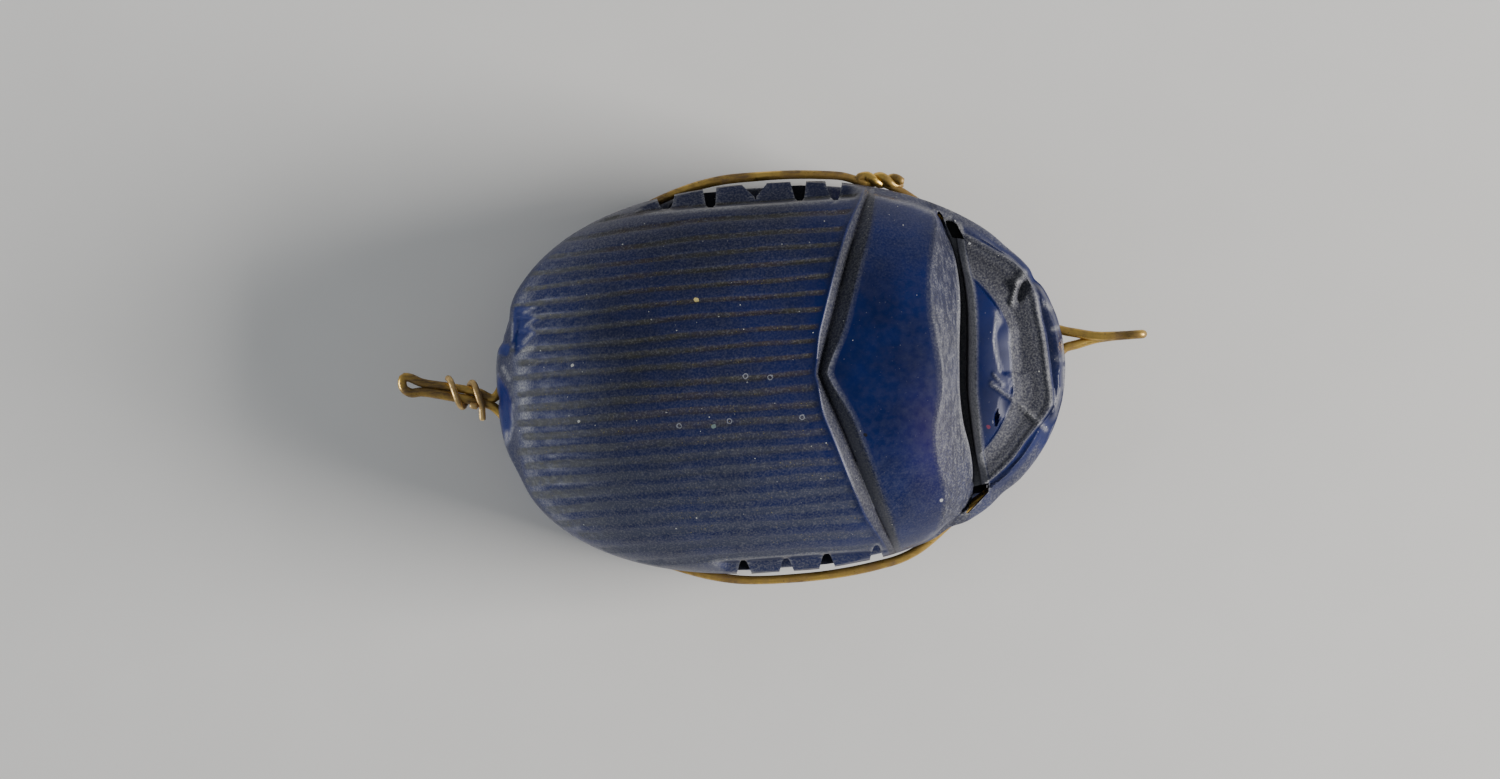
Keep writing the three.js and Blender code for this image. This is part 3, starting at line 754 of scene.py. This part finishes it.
# Painted highlights, partly on frosted worn glass: the broken lines of the head and the chips, and the
# ridges' ends.
bright_lines = (  # start, end, half width, strength
    *((start, end, wide, strong) for start, end, _, _, wide, strong in head_ridges),
    ((7.72, 1.4), (7.66, 1.7), 0.1, 0.6),
    ((7.62, 1.65), (7.47, 0.7), 0.04, 0.9), ((7.47, 0.7), (7.62, -0.35), 0.035, 0.9),
    ((9.08, 2.25), (9.19, 1.07), 0.07, 0.8), ((9.19, 1.07), (9.29, -0.25), 0.06, 0.8),
    ((9.29, -0.25), (9.33, -1.6), 0.06, 0.9), ((8.08, 1.1), (8.05, -0.9), 0.045, 0.6),
    ((9.4, 1.9), (9.58, 1.75), 0.1, 0.9), ((9.6, 1.0), (9.8, 1.05), 0.08, 0.9),
    ((9.94, 0.6), (9.93, -0.1), 0.05, 1.0), ((9.93, -0.35), (9.88, -1.1), 0.05, 1.0),
    ((9.7, -1.1), (9.5, -1.75), 0.05, 0.8), ((9.66, 0.0), (9.78, -0.1), 0.09, 0.4),
    ((-8.42, 3.02), (-8.78, 2.86), 0.05, 0.9), ((-8.48, 2.6), (-8.76, 2.4), 0.05, 0.8),
    ((-8.57, 2.1), (-8.86, 1.82), 0.07, 1.0), ((-8.62, 1.6), (-8.9, 1.5), 0.12, 1.0),
    ((-9.3, 1.95), (-9.24, 2.5), 0.04, 0.8), ((-9.68, 1.02), (-9.49, 0.59), 0.06, 0.9),
    ((-9.43, -0.3), (-9.49, -1.1), 0.035, 0.9), ((-9.49, -1.1), (-9.62, -1.5), 0.05, 1.0),
    ((-9.72, -1.3), (-9.76, -1.6), 0.09, 1.0),
)
glint = np.zeros(len(vx))
for start, end, wide, strong in bright_lines:
    away = segment_distance(vx, vy, start, end)
    glint = np.maximum(glint, strong * bell(away / wide))
# Painted highlights on the ridges' ends at the tail.
ridge_end_highlight = bell((vx - ridge_start - 0.28) / 0.24) * (1 - ramp(0.0, 0.35, in_stria)) * (vx < -5)
ridge_end_highlight = ridge_end_highlight * (0.4 + 0.6 * bell(row / 1.7)) * ramp(-5.4, -4.4, vy) * ramp(4.4, 3.6, vy)
# A painted highlight on convex edges, taken from how far each vertex stands out.
sharp_edge_highlight = 0.6 * ramp(0.012, 0.05, bulge) * (1 - 0.75 * on_head) * mix(0.3, 1, ramp(3.3, 3.7, vz))

# In the neck groove the ground, frost and edge masks paint it pale: partly its dusty ground glass, partly
# painted light for light bounced into the deep groove.
masks = {
    "ground": np.maximum(in_neck, ground * on_top * unchipped + (1 - on_top) * 0.3),
    "dirt": on_top * groove_dirt + (1 - on_top) * 0.25 * (1 - in_neck),
    "cast": bluish * (1 - rear_bank) * (1 - 0.5 * in_slope),
    "frost": np.maximum(frost * on_top, in_neck),
    # The worn tail, whose pale scratches are partly painted glints.
    "wear_and_glints": on_top * unchipped * (1 - on_tail_facet) * ramp(-5.5, -8.6, vx),
    "satin": on_top * np.maximum(0.8 * on_plate, ramp(-7.6, -8.6, vx) * unchipped),
    "fresh": chip * on_top,
    # edge: painted highlights on sharp edges, broken lines and ridge ends, and painted light in the neck
    # groove.
    "edge": highest(
        sharp_edge_highlight, glint * on_top, 0.35 * neck_edge_highlight * on_top, ridge_end_highlight * on_top * unchipped,
        neck_wall * (1 - 0.5 * ramp(2, 3.6, out_y)), 0.3 * in_neck,
    ),
    # Painted glow: a violet tint for light passing through the glass at the thorax's near front.
    "violet_glow": 0.55 * on_top * np.exp(-((vx - 5.0) ** 2 / 0.7 + (vy + 2.6) ** 2 / 4.0)),
    "slope": in_slope * on_top * (0.7 + 0.3 * ramp(0.5, 2.5, vy)),
}
for name, values in masks.items():
    paint(carved, name, values)
# Painted shade: on the waist under the back's edge, over the head's face and brow, on the V's rear bank and
# on the tail facet.
shade = highest(
    0.5 * (vz < rim_underside + 0.05) * (vz > plate_thickness + 0.04),
    (0.27 + 0.1 * ramp(1.5, 3, vy)) * in_face * ramp(0.9, 0.6, head_share) * on_top,
    0.24 * on_brow * on_top,
    0.44 * rear_bank * on_top,
    0.15 * on_tail_facet * on_top * unchipped,
)
paint_corners(carved, "shade", shade, sheer_notch_faces(carved))


def feed(socket, value):
    """Set a shader input to a number or a colour, or link it to an output."""
    if isinstance(value, bpy.types.NodeSocket):
        socket.id_data.links.new(value, socket)
    else:
        socket.default_value = (*value, 1) if socket.type == "RGBA" else value


def node_of(tree, kind, given=(), **settings):
    node = tree.nodes.new(kind)
    for name, value in settings.items():
        setattr(node, name, value)
    for name, value in given:
        feed(node.inputs[name], value)
    return node


def value_noise(place, scale, detail=3, roughness=0.5):
    given = (("Vector", place), ("Scale", scale), ("Detail", detail), ("Roughness", roughness))
    return node_of(place.id_data, "ShaderNodeTexNoise", given).outputs["Fac"]


def stretched(place, scale):
    given = (("Vector", place), ("Scale", scale))
    return node_of(place.id_data, "ShaderNodeMapping", given).outputs["Vector"]


def ranged(source, low, high, to_low=0.0, to_high=1.0):
    ends = (("From Min", low), ("From Max", high), ("To Min", to_low), ("To Max", to_high))
    given = (("Value", source), *ends)
    return node_of(source.id_data, "ShaderNodeMapRange", given).outputs["Result"]


def reckon(operation, first, second):
    tree = (second if isinstance(first, float) else first).id_data
    clamped = operation in ("MULTIPLY", "MAXIMUM", "ADD")
    given = ((0, first), (1, second))
    return node_of(tree, "ShaderNodeMath", given, operation=operation, use_clamp=clamped).outputs["Value"]


def times(first, second):
    return reckon("MULTIPLY", first, second)


def vector_math(operation, first, name, second):
    given = ((0, first), (name, second))
    return node_of(first.id_data, "ShaderNodeVectorMath", given, operation=operation)


def blended(share, first, second):
    given = (("Factor", share), (6, first), (7, second))
    return node_of(share.id_data, "ShaderNodeMix", given, data_type="RGBA").outputs[2]


def bumped(relief, depth):
    given = (("Strength", 0.5), ("Distance", depth), ("Height", relief))
    return node_of(relief.id_data, "ShaderNodeBump", given).outputs["Normal"]


def mask_group(name, **inputs):
    """A shader group that gives one mask, with its own inputs and the mask's socket inside it."""
    group = bpy.data.node_groups.new(name, "ShaderNodeTree")
    for socket, kind in inputs.items():
        group.interface.new_socket(name=socket, in_out="INPUT", socket_type="NodeSocket" + kind)
    group.interface.new_socket(name="Mask", in_out="OUTPUT", socket_type="NodeSocketFloat")
    return group, node_of(group, "NodeGroupInput").outputs, node_of(group, "NodeGroupOutput").inputs["Mask"]


# Grains and specks of dust lie on glass and wire alike.
dust_group, inner, mask = mask_group("dust_grains", Coordinates="Vector", Scale="Float", Amount="Float")
grain_given = (("Vector", inner["Coordinates"]), ("Scale", inner["Scale"]))
grain_cells = node_of(dust_group, "ShaderNodeTexVoronoi", grain_given, feature="F1").outputs
feed(mask, reckon("LESS_THAN", grain_cells["Distance"], times(grain_cells["Color"], inner["Amount"])))

# A burst bubble leaves a bright ring, and other small marks are round spots.
mark_given = {"Coordinates": "Vector", "Centre": "Vector", "Outside": "Float", "Inside": "Float"}
mark_group, inner, mask = mask_group("round_mark", **mark_given)
in_plan = vector_math("MULTIPLY", inner["Coordinates"], 1, (1, 1, 0)).outputs["Vector"]
to_centre = vector_math("DISTANCE", in_plan, 1, inner["Centre"]).outputs["Value"]
within = reckon("LESS_THAN", to_centre, inner["Outside"])
feed(mask, times(within, reckon("GREATER_THAN", to_centre, inner["Inside"])))


def dust_mask(place, scale, amount):
    given = (("Coordinates", place), ("Scale", scale), ("Amount", amount))
    return node_of(place.id_data, "ShaderNodeGroup", given, node_tree=dust_group).outputs["Mask"]


def round_mark(place, centre, outside, inside):
    centre = (centre[0] * MM, centre[1] * MM, 0)
    given = (("Coordinates", place), ("Centre", centre), ("Outside", outside * MM), ("Inside", inside * MM))
    return node_of(place.id_data, "ShaderNodeGroup", given, node_tree=mark_group).outputs["Mask"]


polished_blue = (0.0014, 0.0085, 0.078)
deep_blue = (0.001, 0.005, 0.044)
tail_blue = (0.012, 0.02, 0.11)
fresh_blue = (0.006, 0.016, 0.11)
violet_glow_tint = (0.035, 0.014, 0.1)
ground_warm = (0.052, 0.052, 0.056)
ground_blue = (0.046, 0.053, 0.1)
ground_pale = (0.19, 0.19, 0.195)
slope_dark = (0.03, 0.03, 0.034)
groove_olive = (0.041, 0.04, 0.032)
groove_brown = (0.044, 0.034, 0.034)
groove_blue = (0.046, 0.052, 0.085)
groove_pale = (0.12, 0.12, 0.105)
notch_shade = (0.01, 0.01, 0.012)
scratch_glint_pale = (0.38, 0.39, 0.4)
painted_light_pale = (0.34, 0.34, 0.35)
bubble_rim = (0.22, 0.23, 0.26)
speck_white = (0.5, 0.5, 0.46)
speck_ochre = (0.2, 0.17, 0.06)
small_spots = (  # place, radius, colour
    ((-2.41, -1.5), 0.08, (0.2, 0.27, 0.26)), ((-2.71, 2.9), 0.085, (0.6, 0.5, 0.2)),
    # The reddish spot at (7.12, -2.2) is a painted glint.
    ((7.12, -2.2), 0.065, (0.12, 0.015, 0.045)), ((2.79, -2.15), 0.07, (0.01, 0.01, 0.015)),
    ((6.94, 4.25), 0.05, (0.5, 0.5, 0.5)), ((6.49, 5.07), 0.04, (0.5, 0.5, 0.5)),
    ((5.29, -4.61), 0.05, (0.4, 0.4, 0.4)), ((-7.16, 0.95), 0.06, (0.45, 0.45, 0.42)),
    ((-7.06, -1.0), 0.05, (0.45, 0.45, 0.42)),
)

glass = bpy.data.materials.new("cobalt_glass")
glass.use_nodes = True
tree = glass.node_tree
shader = tree.nodes["Principled BSDF"].inputs
where = node_of(tree, "ShaderNodeTexCoord").outputs["Object"]
painted = {}
for name in (*masks, "shade"):
    painted[name] = node_of(tree, "ShaderNodeAttribute", attribute_name=name).outputs["Fac"]

# Noise, from clouds about 2 mm across down to grains of less than a tenth.
cloud = value_noise(where, 420, 4)
grain = value_noise(where, 14000, 2, 0.6)
fine = value_noise(where, 3200, 3, 0.6)
streaks = value_noise(stretched(where, (1.0, 0.3, 0.6)), 8000, 2, 0.6)
scratches = value_noise(stretched(where, (0.25, 1.0, 0.8)), 6500, 4, 0.65)

# The polish, under a grey haze that is heavier on the near side and at the tail.
ground_dark = blended(painted["cast"], ground_warm, ground_blue)
body = blended(ranged(cloud, 0.35, 0.65), deep_blue, polished_blue)
# Painted glow of light passing through the glass, as a violet tint.
body = blended(times(painted["violet_glow"], 0.6), body, violet_glow_tint)
body = blended(times(painted["wear_and_glints"], 0.5), body, tail_blue)
haze = times(ranged(fine, 0.4, 0.75), reckon("ADD", 0.09, times(painted["cast"], 0.22)))
body = blended(haze, body, ground_dark)

# The ground surfaces, and the dirt that fills the striations.
ground_colour = blended(ranged(grain, 0.4, 0.68), ground_dark, ground_pale)
ground_colour = blended(painted["frost"], ground_colour, ground_pale)
streak_share = times(painted["slope"], ranged(streaks, 0.6, 0.42, 0.1, 1.0))
ground_colour = blended(streak_share, ground_colour, slope_dark)
body = blended(times(painted["ground"], ranged(grain, 0.2, 0.75, 0.45, 0.9)), body, ground_colour)
dirt_share = times(painted["dirt"], ranged(fine, 0.3, 0.62, 0.5, 1.0))
dirt = blended(ranged(cloud, 0.48, 0.6), groove_olive, groove_brown)
dirt = blended(painted["cast"], dirt, groove_blue)
dirt = blended(times(ranged(grain, 0.5, 0.68), 0.4), dirt, ground_pale)
dirt = blended(times(painted["wear_and_glints"], 0.65), dirt, groove_pale)
body = blended(dirt_share, body, dirt)
ochre_share = times(dust_mask(where, 9500, 0.22), painted["dirt"])
body = blended(times(ochre_share, ranged(cloud, 0.42, 0.55)), body, speck_ochre)

# Scratches, partly painted glints; fresh breaks; painted highlights and painted light on edges; painted
# shade.
# Pale scratches at the tail: partly real scratches, partly painted glints standing in for grainy highlights.
scratch_glint_share = times(ranged(scratches, 0.5, 0.64), painted["wear_and_glints"])
body = blended(times(scratch_glint_share, 0.14), body, scratch_glint_pale)
body = blended(painted["fresh"], body, fresh_blue)
# Painted highlights and painted light wherever the edge mask lies.
body = blended(times(painted["edge"], ranged(grain, 0.4, 0.6, 0.35, 0.85)), body, painted_light_pale)
body = blended(painted["shade"], body, notch_shade)

# Specks, burst bubbles and spots, one of them a painted glint.
faint_share = times(dust_mask(where, 6000, 0.11), ranged(cloud, 0.55, 0.45, 0.0, 0.5))
body = blended(faint_share, body, ground_pale)
body = blended(times(dust_mask(where, 2600, 0.085), ranged(cloud, 0.44, 0.52)), body, speck_white)
wobble = node_of(tree, "ShaderNodeTexNoise", (("Vector", where), ("Scale", 9000))).outputs["Color"]
wobble = vector_math("SCALE", wobble, "Scale", 0.00009).outputs["Vector"]
uneven = vector_math("ADD", where, 1, wobble).outputs["Vector"]
for centre in burst_bubbles:
    body = blended(round_mark(uneven, centre, 0.095, 0.06), body, bubble_rim)
for centre, radius, colour in small_spots:
    body = blended(round_mark(uneven, centre, radius, 0), body, colour)
feed(shader["Base Color"], body)

rough = reckon("MAXIMUM", times(painted["ground"], 0.62), times(dirt_share, 0.8))
rough = reckon("MAXIMUM", rough, ranged(fine, 0.3, 0.7, 0.27, 0.4))
feed(shader["Roughness"], reckon("MAXIMUM", rough, times(painted["satin"], 0.5)))
feed(shader["IOR"], 1.52)
feed(shader["Specular IOR Level"], reckon("SUBTRACT", 0.2, times(painted["wear_and_glints"], 0.12)))
relief = times(reckon("ADD", times(streaks, painted["slope"]), grain), painted["ground"])
feed(shader["Normal"], bumped(reckon("ADD", relief, times(fine, 0.12)), 0.00003))
carved.materials.clear()
carved.materials.append(glass)
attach(scarab, "root")
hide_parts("scarab")


# The mount is one gold wire. From its twisted ends beside the thorax it runs under the back's edge to a
# hairpin eyelet at the tail, along the near flank to a second one at the head, and back to the twist.
strand_spacing = 0.33
tail_reach, head_reach = 3.5, 2.95
eyelet_width, eyelet_length = 0.62, 0.85
head_spread, head_offset = 0.33, 0.62
twist_start, twist_length, twist_turns = 3.45, 1.33, 1.3
strand_radius, ring_gap = 0.16, 0.09
far_tail_angle, near_tail_angle = 174, -172     # degrees at which the girdle leaves the waist
near_head_angle, far_head_angle = -3, 10


def outline_point(angle, inset):
    n = tail_fullness if math.cos(angle) < 0 else head_fullness
    x = half_length * math.copysign(abs(math.cos(angle)) ** (2 / n), math.cos(angle))
    y = half_width * math.copysign(abs(math.sin(angle)) ** (2 / n), math.sin(angle))
    normal_x, normal_y = edge_normal(np.float64(x), np.float64(y))
    return float(x - inset * normal_x), float(y - inset * normal_y)


def girdle(start, end):
    points = []
    count = math.ceil(abs(end - start) / 4)
    for k in range(count + 1):
        angle = math.radians(mix(start, end, k / count))
        x, _ = outline_point(angle, 0)
        points.append((*outline_point(angle, float(wire_inset(np.float64(x)))), wire_height))
    return points


def tail_middle(x):
    return mix(-0.2, 0.7, (max(0.0, -x - half_length) / tail_reach) ** 0.8)


def tail_strand(side):
    end = -half_length - tail_reach
    half = side * strand_spacing / 2
    return [
        (end + wire_radius, tail_middle(end), wire_height),
        (end + eyelet_length * 0.28, tail_middle(end) + side * eyelet_width * 0.33, wire_height),
        (end + eyelet_length * 0.54, tail_middle(end + 0.4) + side * eyelet_width * 0.43, wire_height),
        (end + eyelet_length, tail_middle(end + eyelet_length) + half, wire_height - side * 0.02),
        (end + 1.9, tail_middle(end + 1.9) + half, wire_height - side * 0.05),
        (end + 2.8, tail_middle(end + 2.8) + half, wire_height),
        (-half_length - 0.15, tail_middle(-half_length) + half, wire_height),
    ]


def head_strand(side):
    end = half_length + head_reach
    half = side * strand_spacing / 2
    return [
        (end - wire_radius - 0.03, head_offset, wire_height),
        (end - eyelet_length * 0.18, head_offset, wire_height + side * eyelet_width * 0.36),
        (end - eyelet_length * 0.42, head_offset, wire_height + side * (eyelet_width / 2 - 0.02)),
        (end - eyelet_length, head_offset, wire_height + half),
        (mix(half_length, end, 0.4), head_offset + side * head_spread * 0.15, wire_height + half * 0.85),
        (mix(half_length, end, 0.17), head_offset + side * head_spread * 0.6, wire_height + half * 0.3),
        (half_length, head_offset + side * head_spread, wire_height),
    ]


def twisted_end(phase):
    points = []
    for k in range(21):
        x = twist_start + k / 20 * twist_length
        edge = float(flank_reach(x))
        stand = mix(wire_bulge, 2.5 * wire_radius, k / 20)
        angle = phase + k / 20 * twist_turns * 2 * math.pi
        radius = strand_radius * 0.8
        points.append((x, edge + stand + radius * math.cos(angle), wire_height + radius * math.sin(angle)))
    return points


def eased(points, step):
    """Even steps along a smooth line through the points."""
    p = np.array(points, float)
    gaps = np.linalg.norm(np.diff(p, axis=0), axis=1) ** 0.5
    knots = np.concatenate([[0], np.cumsum(gaps)])
    slopes = np.gradient(p, knots, axis=0)
    fine_at = np.linspace(0, knots[-1], len(p) * 14)
    i = np.clip(np.searchsorted(knots, fine_at) - 1, 0, len(p) - 2)
    gap = (knots[i + 1] - knots[i])[:, None]
    line = eased_between((fine_at - knots[i])[:, None] / gap, gap, p[i], p[i + 1], slopes[i], slopes[i + 1])
    far = np.concatenate([[0], np.cumsum(np.linalg.norm(np.diff(line, axis=0), axis=1))])
    even = np.linspace(0, far[-1], max(int(far[-1] / step), 8))
    return np.stack([np.interp(even, far, line[:, axis]) for axis in range(3)], -1)


def wire_rings(points, radius, step, sides, seed):
    """Rings of points round a drawn wire, hardly perfectly round, with rounded cut ends."""
    line = eased(points, step)
    count = len(line)
    tangent = np.gradient(line, axis=0)
    tangent /= np.linalg.norm(tangent, axis=1)[:, None]
    across = np.zeros_like(line)
    first = np.cross(tangent[0], (0, 0, 1.0))
    across[0] = first / np.linalg.norm(first)
    for k in range(1, count):
        moved = across[k - 1] - tangent[k] * np.dot(across[k - 1], tangent[k])
        across[k] = moved / np.linalg.norm(moved)
    up = np.cross(tangent, across)
    far = np.arange(count) * step
    swell = 1 + 0.035 * ripple(far, seed, 1.1)
    end_round = np.minimum(np.arange(count), np.arange(count)[::-1]) * step
    swell = swell * np.sqrt(np.clip(1 - np.clip(1 - end_round / (radius * 0.7), 0, 1) ** 2, 0.02, 1))
    angles = np.arange(sides) / sides * 2 * np.pi
    flat = 1 + 0.03 * np.cos(2 * angles)[None, :] * np.sin(far * 0.7)[:, None]
    ring = (np.cos(angles)[None, :, None] * across[:, None] + np.sin(angles)[None, :, None] * up[:, None])
    return line[:, None] + ring * (radius * swell)[:, None, None] * flat[:, :, None]


def wire_mesh(name, wires, radius, step, sides=16, seed=1):
    points, faces = [], []
    for wire in wires:
        rings = wire_rings(wire, radius, step, sides, seed)
        first = sum(len(part) for part in points)
        count = len(rings)
        for k in range(count - 1):
            for s in range(sides):
                t = (s + 1) % sides
                near, far = first + k * sides, first + (k + 1) * sides
                faces.append([near + s, near + t, far + t, far + s])
        faces.append([first + s for s in range(sides)][::-1])
        faces.append([first + (count - 1) * sides + s for s in range(sides)])
        points.append(rings.reshape(-1, 3))
    mesh = bpy.data.meshes.new(name)
    mesh.from_pydata((np.concatenate(points) * MM).tolist(), [], faces)
    for polygon in mesh.polygons:
        polygon.use_smooth = True
    return mesh


twist_angle = math.degrees(math.acos((twist_start / half_length) ** (head_fullness / 2)))
into_twist = [(3.32, 6.62, wire_height), (3.2, 6.78, wire_height + 0.05)]
whole_wire = twisted_end(math.pi)[::-1] + girdle(twist_angle + 5, far_tail_angle) + tail_strand(1)[::-1]
whole_wire += tail_strand(-1)[1:] + girdle(near_tail_angle, near_head_angle)
whole_wire += head_strand(-1)[::-1] + head_strand(1)[1:]
whole_wire += girdle(far_head_angle, twist_angle - 3) + into_twist + twisted_end(0)[1:]
drawn_wire = wire_mesh("mount_wire", [whole_wire], strand_radius, ring_gap, seed=21)
mount_wire = placed("gold_mount_wire", drawn_wire)


def gold_material(name, bright, shaded, grime, grime_amount):
    material = bpy.data.materials.new(name)
    material.use_nodes = True
    tree = material.node_tree
    shader = tree.nodes["Principled BSDF"].inputs
    where = node_of(tree, "ShaderNodeTexCoord").outputs["Object"]
    patches = value_noise(where, 900, 4, 0.6)
    scratches = value_noise(stretched(where, (0.35, 1.6, 1.6)), 7000, 3, 0.7)
    grime_share = times(ranged(patches, 0.6, 0.42), grime_amount)
    grime_share = times(grime_share, ranged(scratches, 0.35, 0.6, 0.4, 1.0))
    grime_share = reckon("MAXIMUM", grime_share, times(dust_mask(where, 4200, 0.22), 0.7))
    metal = blended(ranged(patches, 0.35, 0.65), shaded, bright)
    feed(shader["Base Color"], blended(grime_share, metal, grime))
    feed(shader["Metallic"], reckon("SUBTRACT", 1.0, grime_share))
    drawn_rough = ranged(scratches, 0.3, 0.7, 0.26, 0.46)
    feed(shader["Roughness"], reckon("MAXIMUM", drawn_rough, times(grime_share, 0.8)))
    feed(shader["Normal"], bumped(scratches, 0.00002))
    return material


worn_gold = gold_material("worn_gold", (0.75, 0.49, 0.125), (0.44, 0.27, 0.065), (0.1, 0.06, 0.03), 0.85)
mount_wire.data.materials.append(worn_gold)
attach(mount_wire, "root")
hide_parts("mount_wire")


# A thinner and brighter gold wire is wound round the tail strands and crosses over them twice. One end
# stands off to the near side, and the other is a short stub that lies on the strands.
binding_radius, binding_ring_gap = 0.115, 0.05
binding_lift = wire_radius + 0.15
binding_spread = strand_spacing / 2 + binding_lift - 0.02
binding_reach, binding_pitch, binding_turns = 1.74, 0.83, 1.4
winding = []
for k in range(37):
    turn = k / 36 * binding_turns
    x = -half_length - binding_reach + turn * binding_pitch
    angle = 1.1 * math.pi - turn * 2 * math.pi
    across = tail_middle(x) - math.cos(angle) * binding_spread
    winding.append((x, across, wire_height + math.sin(angle) * binding_lift * 1.1))
winding += [(-half_length - 0.585, -0.5, wire_height + 0.18), (-half_length - 0.59, -0.8, wire_height + 0.05)]
stub = [(-10.98, -0.22, wire_height + 0.24)]
stub += [(-10.84, -0.26, wire_height + 0.3), (-10.68, -0.3, wire_height + 0.3)]
drawn_binding = wire_mesh("tail_binding", [winding, stub], binding_radius, binding_ring_gap, seed=5)
tail_binding = placed("tail_binding_wire", drawn_binding)
bright_gold = gold_material("bright_gold", (0.95, 0.68, 0.3), (0.7, 0.45, 0.17), (0.16, 0.1, 0.05), 0.5)
tail_binding.data.materials.append(bright_gold)
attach(tail_binding, "root")
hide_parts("tail_binding")


# A plain pale floor, and two broad soft lamps low on either side.
floor_mesh = bpy.data.meshes.new("floor")
floor_half = 0.6
floor_corners = [(x * floor_half, y * floor_half, 0) for x, y in ((-1, -1), (1, -1), (1, 1), (-1, 1))]
floor_mesh.from_pydata(floor_corners, [], [[0, 1, 2, 3]])
floor = placed("floor", floor_mesh)
paper = bpy.data.materials.new("pale_paper")
paper.use_nodes = True
shader = paper.node_tree.nodes["Principled BSDF"].inputs
where = node_of(paper.node_tree, "ShaderNodeTexCoord").outputs["Object"]
feed(shader["Base Color"], blended(value_noise(where, 300, 4), (0.78, 0.77, 0.75), (0.82, 0.81, 0.79)))
feed(shader["Roughness"], 0.9)
floor_mesh.materials.append(paper)


def lamp(name, place, target, size, watts, colour):
    data = bpy.data.lights.new(name, "AREA")
    data.shape = "RECTANGLE"
    data.size, data.size_y = size
    data.energy = watts
    data.color = colour
    lamp_object = placed(name, data)
    lamp_object.location = place
    dx, dy, dz = np.array(target) - np.array(place)
    lamp_object.rotation_euler = (math.atan2(math.hypot(dx, dy), -dz), 0, math.atan2(dy, dx) - math.pi / 2)


lamp("right_lamp", (0.25, -0.04, 0.1), (0, 0, 0.004), (0.14, 0.1), 1.35, (1.0, 0.97, 0.93))
lamp("left_lamp", (-0.26, -0.03, 0.034), (0, 0, 0.004), (0.14, 0.045), 0.46, (0.96, 0.98, 1.0))
world = bpy.data.worlds.new("studio")
world.use_nodes = True
background = world.node_tree.nodes["Background"].inputs
feed(background["Color"], (0.9, 0.95, 1.0))
feed(background["Strength"], 0.3)
bpy.context.scene.world = world
